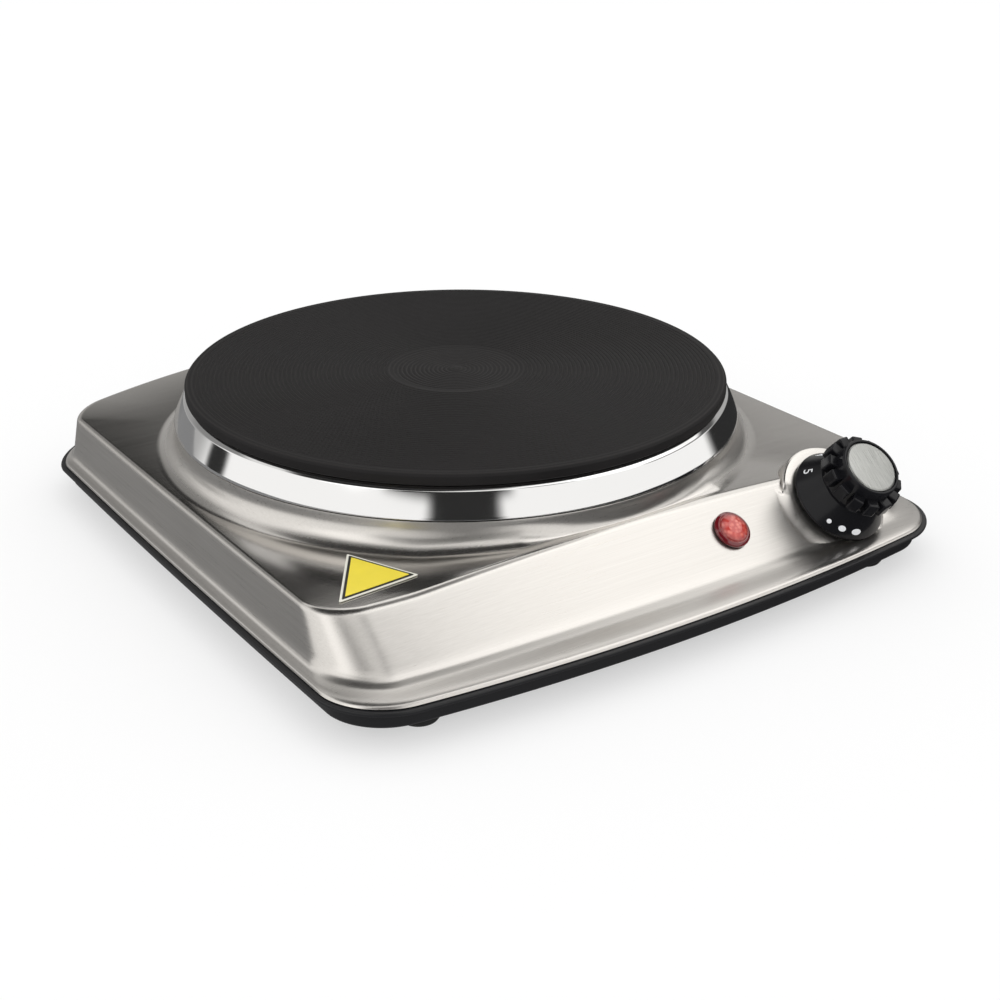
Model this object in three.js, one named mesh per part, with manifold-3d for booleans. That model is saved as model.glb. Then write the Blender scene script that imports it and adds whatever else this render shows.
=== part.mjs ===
// Single hot plate burner: a pressed steel housing on a black base pan, with a cast-iron plate held down by
// one stud, a chrome spill ring, and a thermostat turned by a knob on the sloping front panel.
// Millimetres, +Z up, the front faces -Y. The origin is on the table under the middle of the base.
import * as THREE from "three";
import { mergeVertices } from "three/addons/utils/BufferGeometryUtils.js";
import Module from "manifold-3d";

const wasm = await Module();
wasm.setup();

// ---- driving dimensions ------------------------------------------------------------------------------
const WIDTH = 230.8;              // base flange, side to side
const DEPTH = 258.8;              // base flange, front middle to back middle
const BOW_FRONT = 8.3;            // how far the middle of the front edge stands out past its ends
const BOW_BACK = 28;              // the same for the rounder back edge
const BOW_SIDE = 1.0;
const CORNER_R = 20.7;            // plan radius of the base corners
const GAP = 0.3;                  // clearance between pieces that touch on the real object
const SHEET = 0.8;                // housing and pan steel
const SLIVER = 0.01;              // detail smaller than this is merged away after a boolean

const PAN_BOTTOM = 4.8;           // underside of the pan
const PAN_RIM = 12.1;             // top face of the pan's flange
const PAN_INSET = 3.8;            // how far the pan's wall stands in from the flange edge

const LIP_Z = PAN_RIM + GAP;      // lower edge of the housing
const LIP_INSET = 1.6;            // flange that shows around the housing
const TOP_Z = 29;                 // flat top of the housing
const TOP_HALF_WIDTH = 107;       // where the side walls meet the top
const TOP_BACK = 120.5;           // where the back wall meets the top
const TOP_CORNER_R = 13.5;
const EDGE_ROUND = 2;             // rounding of the top edge, measured along each face
const CROWN = 2.6;                // rise of the top towards the middle of the front edge ...
const CROWN_HALF = 78;            // ... which ends this far to each side
const CROWN_BLEND = 0.02;         // softness of its two ends

const PANEL_TILT = THREE.MathUtils.degToRad(39);   // control panel, from horizontal
const PANEL_Y = -94.5;            // the panel's plane passes y = PANEL_Y ...
const PANEL_Z = 32;               // ... at this height on the centre line
const PANEL_BOW = 5e-4;           // bow of the panel along x, per millimetre

const PLATE_Y = 3.9;              // centre of the cooking plate
const PLATE_R = 92.5;
const PLATE_TOP = 51.4;
const PLATE_RIM = 4;              // height of the plate's side
const COLLAR_R = 96.8;            // raised collar round the opening
const COLLAR_Z = 38;
const COLLAR_ROUND = 0.5;         // rounding of the collar's upper edge
const FLARE_R = 104;              // where the collar has flattened out into the top
const OPENING_R = 90.5;

const KNOB_X = 76.6;              // knob axis, where it meets the panel
const KNOB_Z = 21.9;
const KNOB_R = 16.3;
const KNOB_TOP = 21.6;            // heights along the knob's axis are measured from the panel
const KNOB_GRIPS = 14;
const GRIP = [3.6, 3.8, 5];       // size of one grip: outwards, across, along the axis
const GRIP_AT = [11.8, 15.8];     // its middle: radius, height
const BOSS_R = 20;
const BOSS_H = 1.6;
const KNOB_LIFT = 1.4;            // gap from the boss to the knob's skirt
const SPINDLE_R = 3;
const SPINDLE_HOLE_R = 5.2;       // hole in the boss for the thermostat's bushing
const LAMP_X = 31.3;              // indicator lamp
const LAMP_Z = 23.4;
const LENS_R = 6.2;
const LAMP_HOLE_R = 5.4;

const FOOT_X = 86.5;
const FOOT_Y = [-109.8, 90];
const FOOT_R = 6.3;
const FOOT_RECESS_R = 3.7;        // room for the screw's head
const POST_X = 93;                // posts that the pan is screwed to
const POST_Y = [-77, 64];
const SCREW_HOLE_R = 2.2;
const INLET_Z = 21;               // cord inlet, in the middle of the back wall
const CORD_HOLE_R = 5.2;
const VENT_X = [-45, 45];         // slots in the pan's floor
const VENT_Y = [-62, -50, -38];
const VENT = [44, 3.4];

// ---- colours -----------------------------------------------------------------------------------------
const LOOKS = {
  steel: [0xb9b5ae, 0.35, 1], chrome: [0xe6e6e6, 0.08, 1], iron: [0x2b292a, 0.75, 0.3],
  black_paint: [0x0d0d0e, 0.4, 0.2], black_plastic: [0x101012, 0.25, 0], spun: [0xb9bab5, 0.3, 1],
  red: [0xb3262a, 0.15, 0], rubber: [0x141414, 0.9, 0], zinc: [0xa9a9a4, 0.45, 1],
  ceramic: [0xe7e0d2, 0.7, 0], brass: [0xb8923f, 0.35, 1], glass: [0xf0c8a8, 0.1, 0],
  sticker: [0xedd938, 0.5, 0], heater: [0x6d6f6e, 0.5, 1],
};

// ---- mesh helpers ------------------------------------------------------------------------------------
function toSolid(geometry) {
  const bare = geometry.clone();
  bare.deleteAttribute("normal");
  bare.deleteAttribute("uv");
  const merged = mergeVertices(bare, 1e-4);
  return new wasm.Manifold(new wasm.Mesh({
    numProp: 3,
    vertProperties: new Float32Array(merged.attributes.position.array),
    triVerts: new Uint32Array(merged.index.array),
  }));
}

function toGeometry(solid) {
  const mesh = solid.asOriginal().simplify(SLIVER).getMesh();
  const geometry = new THREE.BufferGeometry();
  geometry.setAttribute("position", new THREE.BufferAttribute(new Float32Array(mesh.vertProperties), 3));
  geometry.setIndex(new THREE.BufferAttribute(new Uint32Array(mesh.triVerts), 1));
  return geometry;
}

const cut = (from, ...tools) => toGeometry(tools.reduce((s, t) => s.subtract(toSolid(t)), toSolid(from)));
const join = (...pieces) => toGeometry(pieces.map(toSolid).reduce((a, b) => a.add(b)));

// Closed skin over rows of points: each row is a closed loop of [x, y, z] and the last row joins the first.
function skin(rows) {
  const count = rows[0].length;
  const index = [];
  rows.forEach((row, r) => {
    const next = (r + 1) % rows.length;
    row.forEach((_, c) => {
      const d = (c + 1) % count;
      const [a, b, e, f] = [r * count + c, r * count + d, next * count + d, next * count + c];
      index.push(a, b, e, a, e, f);
    });
  });
  const geometry = new THREE.BufferGeometry();
  geometry.setAttribute("position", new THREE.Float32BufferAttribute(rows.flat(2), 3));
  geometry.setIndex(index);
  return geometry;
}

// Skin over rows that ends in a flat cap at both ends.
function capped(rows) {
  const geometry = skin(rows);
  const count = rows[0].length;
  const last = rows.length - 1;
  const index = Array.from(geometry.index.array).slice(0, last * count * 6);
  const contour = (row) => row.map(([x, y]) => new THREE.Vector2(x, y));
  for (const [r, flip] of [[0, true], [last, false]]) {
    for (const face of THREE.ShapeUtils.triangulateShape(contour(rows[r]), [])) {
      const [a, b, c] = face.map((i) => r * count + i);
      index.push(...(flip ? [a, c, b] : [a, b, c]));
    }
  }
  geometry.setIndex(index);
  return geometry;
}

// Turned piece about Z from [radius, z] pairs that start and end on the axis or close on themselves.
function turned(profile, segments = 32) {
  const geometry = new THREE.LatheGeometry(profile.map(([r, z]) => new THREE.Vector2(r, z)), segments);
  return geometry.rotateX(Math.PI / 2);
}

const disc = (r, z0, z1, segments = 24) => turned([[0, z0], [r, z0], [r, z1], [0, z1]], segments);
const ring = (r0, r1, z0, z1, segments = 24) =>
  turned([[r0, z0], [r1, z0], [r1, z1], [r0, z1], [r0, z0]], segments);
const box = (x, y, z, cx = 0, cy = 0, cz = 0) => new THREE.BoxGeometry(x, y, z).translate(cx, cy, cz);

function prism(points, z0, z1) {
  const shape = new THREE.Shape(points.map(([x, y]) => new THREE.Vector2(x, y)));
  return new THREE.ExtrudeGeometry(shape, { depth: z1 - z0, bevelEnabled: false }).translate(0, 0, z0);
}

function hexagon(acrossFlats, z0, z1, bore) {
  const corner = acrossFlats / Math.sqrt(3);
  const points = Array.from({ length: 6 }, (_, i) => [Math.cos(i * Math.PI / 3) * corner,
    Math.sin(i * Math.PI / 3) * corner]);
  return cut(prism(points, z0, z1), disc(bore, z0 - 1, z1 + 1, 20));
}

// Rod along a curve, for leads and the heating coil.
function rod(curve, radius, steps, sides = 8, closed = false) {
  const section = new THREE.Shape(Array.from({ length: sides }, (_, i) => {
    const a = i * 2 * Math.PI / sides;
    return new THREE.Vector2(Math.cos(a) * radius, Math.sin(a) * radius);
  }));
  curve.closed = closed;
  return new THREE.ExtrudeGeometry(section, { extrudePath: curve, steps, bevelEnabled: false });
}

const path = (...points) => new THREE.CatmullRomCurve3(points.map((p) => new THREE.Vector3(...p)));

// ---- plan outline of the base and of the housing's top -------------------------------------------------
const FRONT_COLUMNS = 16;
const CORNER_COLUMNS = 5;
const SIDE_COLUMNS = 7;
const BACK_COLUMNS = 12;

// Rounded rectangle with bowed sides, anticlockwise from the front left corner's end.
// Each point also carries how much it belongs to the front panel, from 0 to 1.
function outline({ half, front, back, radius, bowFront, bowBack, bowSide }) {
  const points = [];
  const line = (x0, y0, x1, y1, n, weight) => {
    for (let i = 0; i < n; i++) {
      points.push([x0 + (x1 - x0) * i / n, y0 + (y1 - y0) * i / n, weight]);
    }
  };
  const corner = (cx, cy, from, w0, w1) => {
    for (let i = 0; i < CORNER_COLUMNS; i++) {
      const t = i / CORNER_COLUMNS;
      const a = THREE.MathUtils.degToRad(from + 90 * t);
      const s = THREE.MathUtils.smoothstep(t, 0, 1);
      points.push([cx + radius * Math.cos(a), cy + radius * Math.sin(a), w0 + (w1 - w0) * s]);
    }
  };
  const [x, f, b] = [half - radius, front + radius, back - radius];
  line(-x, front, x, front, FRONT_COLUMNS, 1);
  corner(x, f, 270, 1, 0);
  line(half, f, half, b, SIDE_COLUMNS, 0);
  corner(x, b, 0, 0, 0);
  line(x, back, -x, back, BACK_COLUMNS, 0);
  corner(-x, b, 90, 0, 0);
  line(-half, b, -half, f, SIDE_COLUMNS, 0);
  corner(-x, f, 180, 0, 1);
  const middle = (front + back) / 2;
  const reach = (back - front) / 2;
  return points.map(([px, py, weight]) => {
    const along = (py - middle) / reach;
    const across = px / half;
    const share = Math.abs(along);
    const bow = py < middle ? bowFront : -bowBack;
    return [px - Math.sign(px) * bowSide * along ** 2 * Math.abs(across),
      py + bow * across ** 2 * share, weight];
  });
}

const HALF = WIDTH / 2;
const baseOutline = (inset) => outline({
  half: HALF - inset, front: -DEPTH / 2 + inset, back: DEPTH / 2 - inset, radius: CORNER_R - inset,
  bowFront: BOW_FRONT, bowBack: BOW_BACK, bowSide: BOW_SIDE,
});

const panelY = (x, z) => PANEL_Y + PANEL_BOW * x * x - (PANEL_Z - z) / Math.tan(PANEL_TILT);
const FRONT_EDGE = PLATE_Y - panelY(0, TOP_Z + CROWN);   // from the plate's centre to the front edge
const FRONT_ONLY = 20;                                   // the crown is left out nearer than this

// Height of the housing's top before it turns up to the collar: level, but raised in front of the plate.
function flatTop(x, y) {
  const forward = PLATE_Y - y;
  if (forward < FRONT_ONLY) return TOP_Z;
  const rest = 1 - (x / forward * FRONT_EDGE / CROWN_HALF) ** 2;
  return TOP_Z + CROWN * (rest + Math.sqrt(rest * rest + CROWN_BLEND)) / 2;
}

// The same with the hollow curve that rises from radius start to the collar round the plate.
function topHeight(x, y, start = FLARE_R) {
  const u = THREE.MathUtils.clamp((start - Math.hypot(x, y - PLATE_Y)) / (start - COLLAR_R), 0, 1);
  const level = flatTop(x, y);
  return level + (COLLAR_Z - COLLAR_ROUND - level) * (1 - Math.sqrt(1 - u * u * 0.999));
}

// Where the housing's walls would meet its top if the edge were sharp.
function topEdge() {
  const front = panelY(0, TOP_Z);
  const points = outline({
    half: TOP_HALF_WIDTH, front, back: TOP_BACK, radius: TOP_CORNER_R,
    bowFront: PANEL_BOW * TOP_HALF_WIDTH ** 2, bowBack: BOW_BACK * (TOP_HALF_WIDTH / HALF) ** 2, bowSide: 0.4,
  });
  return points.map(([x, y, weight]) => {
    let edgeY = y;
    if (weight === 1) {
      for (let i = 0; i < 6; i++) edgeY = panelY(x, flatTop(x, edgeY));
    }
    return [x, edgeY, flatTop(x, edgeY)];
  });
}

// Wall section from the lip (0, 0) to the sharp top edge (1, 1): share of the way in, share of the height.
const PANEL_SECTION = [[0, 0], [0.01, 0.035], [0.035, 0.06], [0.08, 0.073], [0.28, 0.087], [0.36, 0.125],
  [0.43, 0.195]];
const SIDE_SECTION = [[0, 0], [0.04, 0.04], [0.12, 0.06], [0.24, 0.075], [0.4, 0.11], [0.52, 0.17],
  [0.6, 0.26]];

const WALL_FOOT = PANEL_SECTION.length - 1;   // row where the straight part of the wall begins

function housingRows() {
  const lip = baseOutline(LIP_INSET);
  const edge = topEdge();
  const rows = PANEL_SECTION.map((panel, i) => lip.map(([x, y, weight], c) => {
    const [ex, ey, ez] = edge[c];
    const across = SIDE_SECTION[i][0] * (1 - weight) + panel[0] * weight;
    const up = SIDE_SECTION[i][1] * (1 - weight) + panel[1] * weight;
    return [x + (ex - x) * across, y + (ey - y) * across, LIP_Z + (ez - LIP_Z) * up];
  }));
  const foot = rows.at(-1);
  const towards = (from, to, length) => {
    const v = new THREE.Vector3(...to).sub(new THREE.Vector3(...from));
    return new THREE.Vector3(...from).addScaledVector(v.normalize(), length).toArray();
  };
  const wallEnd = edge.map((p, c) => towards(p, foot[c], EDGE_ROUND));
  const topStart = edge.map(([x, y, z]) => {
    const dx = -x;
    const dy = PLATE_Y - y;
    const length = Math.min(EDGE_ROUND, 0.45 * (Math.hypot(dx, dy) - COLLAR_R)) / Math.hypot(dx, dy);
    const [nx, ny] = [x + dx * length, y + dy * length];
    return [nx, ny, flatTop(nx, ny)];
  });
  const rounded = edge.map((p, c) => p.map((v, k) => 0.5 * v + 0.25 * (wallEnd[c][k] + topStart[c][k])));
  rows.push(wallEnd, rounded, topStart);
  for (const share of [1, 0.55, 0.27, 0.1, 0]) {
    rows.push(topStart.map(([x, y]) => {
      const distance = Math.hypot(x, y - PLATE_Y);
      const start = Math.min(distance - 0.3, FLARE_R);
      const r = COLLAR_R + (start - COLLAR_R) * share;
      const [nx, ny] = [x * r / distance, PLATE_Y + (y - PLATE_Y) * r / distance];
      return [nx, ny, topHeight(nx, ny, start)];
    }));
  }
  const circle = (r, z) => topStart.map(([x, y]) => {
    const distance = Math.hypot(x, y - PLATE_Y);
    return [x * r / distance, PLATE_Y + (y - PLATE_Y) * r / distance, z];
  });
  rows.push(circle(COLLAR_R - COLLAR_ROUND, COLLAR_Z), circle(OPENING_R, COLLAR_Z));
  return rows;
}

// The same rows moved inward by a thickness, along the surface's own normals.
function offsetRows(rows, thickness) {
  const count = rows[0].length;
  const held = (r) => rows[THREE.MathUtils.clamp(r, 0, rows.length - 1)];
  const at = (r, c) => new THREE.Vector3(...held(r)[(c + count) % count]);
  return rows.map((row, r) => row.map((p, c) => {
    const along = at(r, c + 1).sub(at(r, c - 1));
    const up = at(r + 1, c).sub(at(r - 1, c));
    const normal = along.cross(up).normalize();
    return new THREE.Vector3(...p).addScaledVector(normal, -thickness).toArray();
  }));
}

// ---- the assembly --------------------------------------------------------------------------------------
const model = new THREE.Group();

function place(name, look, geometry, parent = model) {
  const [color, roughness, metalness] = LOOKS[look];
  const mesh = new THREE.Mesh(geometry, new THREE.MeshStandardMaterial({ color, roughness, metalness }));
  mesh.name = name;
  parent.add(mesh);
  return mesh;
}

// A group whose +Z stands out square from the control panel at x, z and whose +X runs level along it.
function onPanel(x, z) {
  const out = new THREE.Vector3(2 * PANEL_BOW * x, -1, 1 / Math.tan(PANEL_TILT)).normalize();
  const level = new THREE.Vector3(1, 2 * PANEL_BOW * x, 0).normalize();
  const group = new THREE.Group();
  group.quaternion.setFromRotationMatrix(new THREE.Matrix4().makeBasis(level, out.clone().cross(level), out));
  group.position.set(x, panelY(x, z), z);
  group.updateMatrixWorld(true);
  model.add(group);
  return group;
}

const knobAxis = onPanel(KNOB_X, KNOB_Z);
const lampAxis = onPanel(LAMP_X, LAMP_Z);

const rows = housingRows();

// The cord inlet stands square on the middle of the back wall.
function onBackWall(z) {
  const back = FRONT_COLUMNS + CORNER_COLUMNS * 2 + SIDE_COLUMNS;
  const middle = back + BACK_COLUMNS / 2;
  const [low, high] = [rows[WALL_FOOT][middle], rows[WALL_FOOT + 1][middle]];
  const share = (z - low[2]) / (high[2] - low[2]);
  const group = new THREE.Group();
  group.position.set(0, low[1] + (high[1] - low[1]) * share, z);
  group.rotation.x = -Math.atan2(high[2] - low[2], low[1] - high[1]);
  group.updateMatrixWorld(true);
  model.add(group);
  return group;
}
const inletAxis = onBackWall(INLET_Z);

const moved = (geometry, group) => geometry.applyMatrix4(group.matrixWorld);
const overPlate = (geometry) => geometry.translate(0, PLATE_Y, 0);

// ---- housing and pan -----------------------------------------------------------------------------------
const BOSS_SECTION = [[0, -12], [BOSS_R, -12], [BOSS_R, -0.6], [BOSS_R - 0.7, 0.6], [BOSS_R - 2.4, BOSS_H],
  [0, BOSS_H]];
const BOSS_HOLLOW = [[0, -18], [BOSS_R - 1, -18], [BOSS_R - 1, -1.2], [BOSS_R - 3, BOSS_H - SHEET],
  [0, BOSS_H - SHEET]];
const BRIM_TOP = LIP_Z + 1.2;     // the boss is left out below this height
const BOSS_SEGMENTS = 36;
const HOLE_SEGMENTS = 20;
const LINING_ROWS = [0, 3, 4, 6, 7, 9, 10, 12, 14, 15, 16];   // rows of the skin kept on its inside

function housing() {
  const inside = offsetRows(rows, SHEET);
  const lining = LINING_ROWS.map((r) => inside[r]);
  lining[0] = lining[0].map(([x, y]) => [x, y, LIP_Z]);
  lining[lining.length - 1] = rows[LINING_ROWS.at(-1)].map(([x, y]) => [x, y, COLLAR_Z - SHEET]);
  const sheet = toSolid(skin([...rows, ...lining.toReversed()]));
  const hollow = toSolid(capped(inside.slice(0, LINING_ROWS.at(-2))));
  const pad = toSolid(moved(turned(BOSS_SECTION, BOSS_SEGMENTS), knobAxis));
  const padHollow = toSolid(moved(turned(BOSS_HOLLOW, BOSS_SEGMENTS), knobAxis));
  const underBrim = toSolid(box(WIDTH, DEPTH, 2 * BRIM_TOP, 0, 0, 0));
  const through = (r, reach, axis) => toSolid(moved(disc(r, -reach, reach, HOLE_SEGMENTS), axis));
  const holes = [through(SPINDLE_HOLE_R, 20, knobAxis), through(LAMP_HOLE_R, 6, lampAxis),
    through(CORD_HOLE_R, 8, inletAxis)];
  const boss = pad.subtract(padHollow).subtract(hollow).subtract(underBrim);
  return toGeometry(holes.reduce((s, h) => s.subtract(h), sheet.subtract(padHollow).add(boss)));
}
place("top_housing", "steel", housing());

const PAN_SHEET = 1;
const PAN_FLOOR = PAN_BOTTOM + PAN_SHEET;
const PAN_FLANGE = PAN_RIM - PAN_SHEET;
// Pan sections as [distance in from the flange's edge, height].
const PAN_OUTSIDE = [[PAN_INSET + 1.6, PAN_BOTTOM], [PAN_INSET + 0.5, PAN_BOTTOM + 0.9],
  [PAN_INSET - 0.5, PAN_FLANGE], [0.3, PAN_FLANGE], [0, PAN_FLANGE + 0.5], [0.3, PAN_RIM]];
const PAN_INSIDE = [[PAN_INSET + 2.2, PAN_FLOOR], [PAN_INSET + 0.6, PAN_RIM + 1]];

function basePan() {
  const level = ([inset, z]) => baseOutline(inset).map(([x, y]) => [x, y, z]);
  const holes = [];
  for (const y of VENT_Y) {
    for (const x of VENT_X) holes.push(box(...VENT, PAN_BOTTOM, x, y, PAN_BOTTOM));
  }
  for (const side of [-1, 1]) {
    for (const [x, ys] of [[FOOT_X, FOOT_Y], [POST_X, POST_Y]]) {
      for (const y of ys) holes.push(disc(SCREW_HOLE_R, 0, PAN_RIM, 12).translate(side * x, y, 0));
    }
  }
  return cut(capped(PAN_OUTSIDE.map(level)), capped(PAN_INSIDE.map(level)), ...holes);
}
place("base_pan", "black_paint", basePan());

const FOOT_SECTION = [[2.3, 2.2], [FOOT_RECESS_R, 2.2], [FOOT_RECESS_R, 0], [FOOT_R - 0.9, 0], [FOOT_R, 1.2],
  [FOOT_R, PAN_BOTTOM - GAP], [2.3, PAN_BOTTOM - GAP], [2.3, 2.2]];
const FOOT_SCREW = [[0, 0.7], [2.7, 0.7], [3.3, 1.3], [3.3, 1.9], [1.8, 1.9], [1.8, 9.5], [0, 9.5]];
const POST_TOP = TOP_Z - SHEET - GAP;
const POST_SECTION = [[0, 18], [1.9, 18], [1.9, PAN_FLOOR + GAP], [4, PAN_FLOOR + GAP], [4, POST_TOP],
  [0, POST_TOP]];
const POST_SCREW = [[0, 2.6], [2.6, 2.6], [3.4, 3.4], [3.4, 4.5], [1.6, 4.5], [1.6, 15], [0, 15]];
["front", "rear"].forEach((end, i) => {
  for (const [side, sign] of [["left", -1], ["right", 1]]) {
    const foot = [sign * FOOT_X, FOOT_Y[i], 0];
    const post = [sign * POST_X, POST_Y[i], 0];
    place(`foot_${end}_${side}`, "rubber", turned(FOOT_SECTION, 20)).position.set(...foot);
    place(`foot_screw_${end}_${side}`, "zinc", turned(FOOT_SCREW, 12)).position.set(...foot);
    place(`housing_post_${end}_${side}`, "zinc", turned(POST_SECTION, 12)).position.set(...post);
    place(`pan_screw_${end}_${side}`, "zinc", turned(POST_SCREW, 12)).position.set(...post);
  }
});

// ---- cooking plate, ring and what holds them ------------------------------------------------------------
const RIM_Z = PLATE_TOP - PLATE_RIM;
const RECESS_R = 24;              // shallow recess in the middle of the plate
const RECESS_DEPTH = 0.5;
const WELL_Z = 46.2;              // underside of the plate between its middle and its outer wall
const PLATE_SECTION = [[0, 45], [3.3, 45], [3.3, 40], [14, 40], [14, WELL_Z], [80, WELL_Z], [80, 39.8],
  [88.2, 39.8], [88.2, RIM_Z + 0.1], [PLATE_R - 0.6, RIM_Z + 0.1], [PLATE_R, RIM_Z + 0.7],
  [PLATE_R, PLATE_TOP - 0.6], [PLATE_R - 0.6, PLATE_TOP], [RECESS_R, PLATE_TOP],
  [RECESS_R - 1.5, PLATE_TOP - RECESS_DEPTH], [0, PLATE_TOP - RECESS_DEPTH]];
place("cooking_plate", "iron", overPlate(turned(PLATE_SECTION, 64)));

const RING_TOP = RIM_Z + 0.1 - GAP;
const RING_FOOT = COLLAR_Z + GAP;
const RING_SECTION = [[COLLAR_R + 0.2, RING_FOOT], [COLLAR_R - 0.1, COLLAR_Z + 1.3], [93.5, RING_TOP - 1.2],
  [92.9, RING_TOP - 0.4], [91.9, RING_TOP], [89.6, RING_TOP], [89.6, RING_TOP - 0.8], [91.6, RING_TOP - 0.8],
  [92.3, RING_TOP - 1.3], [COLLAR_R - 1, COLLAR_Z + 1.1], [COLLAR_R - 0.7, RING_FOOT],
  [COLLAR_R + 0.2, RING_FOOT]];
place("spill_ring", "chrome", overPlate(turned(RING_SECTION, 64)));

const COIL_IN = 46;
const COIL_OUT = 70;
const COIL_TURNS = 2;
const COIL_STEPS = 48;
const COIL_Z = 44.4;
const COIL_R = 1.4;
const coilPoints = Array.from({ length: COIL_STEPS + 1 }, (_, i) => {
  const a = Math.PI / 2 + i / COIL_STEPS * COIL_TURNS * 2 * Math.PI;
  const r = COIL_IN + (COIL_OUT - COIL_IN) * i / COIL_STEPS;
  return [r * Math.cos(a), PLATE_Y + r * Math.sin(a), COIL_Z];
});
place("heating_coil", "heater", rod(path(...coilPoints), COIL_R, 64, 6));

const LEAD_Y = [PLATE_Y + COIL_IN, PLATE_Y + COIL_OUT];
const LEAD_R = 1.2;
const LEAD_TOP = COIL_Z - COIL_R - GAP;
const WELL_R = 79;                // reach of the insulation and of the cover below it
const leadHoles = () => LEAD_Y.map((y) => disc(LEAD_R + 0.8, TOP_Z - 9, PLATE_TOP, 10).translate(0, y, 0));
place("coil_insulation", "ceramic", cut(overPlate(ring(15, WELL_R, 40.5, LEAD_TOP, 40)), ...leadHoles()));
place("plate_cover", "zinc", cut(overPlate(ring(4, WELL_R, 39.1, 39.7, 40)), ...leadHoles()));

const STUD_R = 3;
const STUD_CLEAR = 3.4;           // bore of the washer
const NUT_BORE = 3.3;
const NUT_FLATS = 10;
place("plate_stud", "zinc", overPlate(disc(STUD_R, 23.4, 44.7, 16)));

const BRIDGE = { length: 189, width: 18, sheet: 1.6, skirt: 5, top: COLLAR_Z - SHEET - GAP };
const bridgeSkirt = (side) => box(BRIDGE.length, BRIDGE.sheet, BRIDGE.skirt, 0,
  side * (BRIDGE.width - BRIDGE.sheet) / 2, BRIDGE.top - BRIDGE.skirt / 2);
place("clamp_bridge", "zinc", overPlate(cut(
  join(box(BRIDGE.length, BRIDGE.width, BRIDGE.sheet, 0, 0, BRIDGE.top - BRIDGE.sheet / 2), bridgeSkirt(1),
    bridgeSkirt(-1)), disc(STUD_R + 0.5, 20, 50, 16))));
place("bridge_washer", "zinc", overPlate(ring(STUD_CLEAR, 6.5, 33.9, 35, 20)));
place("stud_nut", "zinc", overPlate(hexagon(NUT_FLATS, 29.5, 33.6, NUT_BORE)));

const SHIELD_SECTION = [[3.5, 28.4], [72, 28.4], [82, 24.4], [82.3, 25.2], [72.3, 29.2], [3.5, 29.2],
  [3.5, 28.4]];
const SHIELD_Z = 28.4 - GAP;
place("heat_shield", "zinc", cut(overPlate(turned(SHIELD_SECTION, 40)), ...leadHoles()));
place("shield_nut", "zinc", overPlate(hexagon(NUT_FLATS, 24.4, SHIELD_Z, NUT_BORE)));
place("thermal_cutout", "ceramic", disc(7, 20, SHIELD_Z, 20).translate(-40, PLATE_Y, 0));

// ---- wiring -------------------------------------------------------------------------------------------
const BLOCK = [14, 40, 10];
const BLOCK_TOP = PAN_FLOOR + GAP + BLOCK[2];
const SCREW_TOP = BLOCK_TOP + GAP + 2.6;
place("terminal_block", "ceramic", box(...BLOCK, 0, (LEAD_Y[0] + LEAD_Y[1]) / 2, BLOCK_TOP - BLOCK[2] / 2));
LEAD_Y.forEach((y, i) => {
  place(`terminal_screw_${i + 1}`, "brass", disc(3, BLOCK_TOP + GAP, SCREW_TOP, 12).translate(0, y, 0));
  place(`coil_lead_${i + 1}`, "zinc", disc(LEAD_R, SCREW_TOP + GAP, LEAD_TOP, 10).translate(0, y, 0));
});
place("earth_screw", "brass", disc(3.2, PAN_FLOOR + GAP, 10, 12).translate(30, 92, 0));

const WIRE_R = 1.1;
const WIRE_Z = PAN_FLOOR + WIRE_R + 1.6;
const WIRES = [
  [[8.6, 74, 13], [16, 84, WIRE_Z], [12, 100, WIRE_Z], [3, 112, 14]],
  [[8.6, 46, 13], [30, 30, WIRE_Z], [70, -20, WIRE_Z], [64, -84, WIRE_Z], [60, -92, 9.5]],
  [[-8.6, 50, 13], [-26, 30, WIRE_Z], [-20, -60, WIRE_Z], [14, -84, WIRE_Z], [26, -88, 10]],
];
WIRES.forEach((points, i) => place(`wire_${i + 1}`, "rubber", rod(path(...points), WIRE_R, 14, 6)));

// ---- thermostat behind the panel; heights are along the knob's axis, from the panel -------------------
const onKnob = (name, look, geometry) => place(name, look, geometry, knobAxis);
const BUSHING_SECTION = [[3.3, -7], [4.7, -7], [4.7, -2.9], [8, -2.9], [8, BOSS_H - SHEET - GAP],
  [4.7, BOSS_H - SHEET - GAP], [4.7, 6.4], [3.3, 6.4], [3.3, -7]];
const STACK_X = -20;
onKnob("thermostat_bushing", "brass", turned(BUSHING_SECTION, 20));
onKnob("bushing_nut", "zinc", hexagon(14, BOSS_H + GAP, 5, 5));
onKnob("thermostat_frame", "zinc", cut(box(36, 16, 1.2, -9.5, 0, -3.8), disc(5, -6, 0, 16)));
const LEAF = [23.5, 5, 0.5];
const LEAF_AT = STACK_X - 1.5;    // end of both leaves inside the stack
const LEAF_Z = -9.55;
const FIXED_Z = -12.55;
const leafSlot = (z) => box(10, LEAF[1] + 2, LEAF[2] + 2 * GAP, STACK_X + 3, 0, z);
onKnob("thermostat_stack", "ceramic", cut(disc(4.5, -14, -4.7, 16).translate(STACK_X, 0, 0),
  leafSlot(LEAF_Z), leafSlot(FIXED_Z)));
onKnob("contact_leaf", "brass", box(...LEAF, LEAF_AT + LEAF[0] / 2, 0, LEAF_Z));
onKnob("fixed_leaf", "brass", box(...LEAF, LEAF_AT + LEAF[0] / 2, 0, FIXED_Z));
onKnob("push_pin", "ceramic", disc(2.6, -9, -5.6, 12));
onKnob("thermostat_spindle", "zinc", disc(SPINDLE_R, -5.3, 17, 16));

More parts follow.
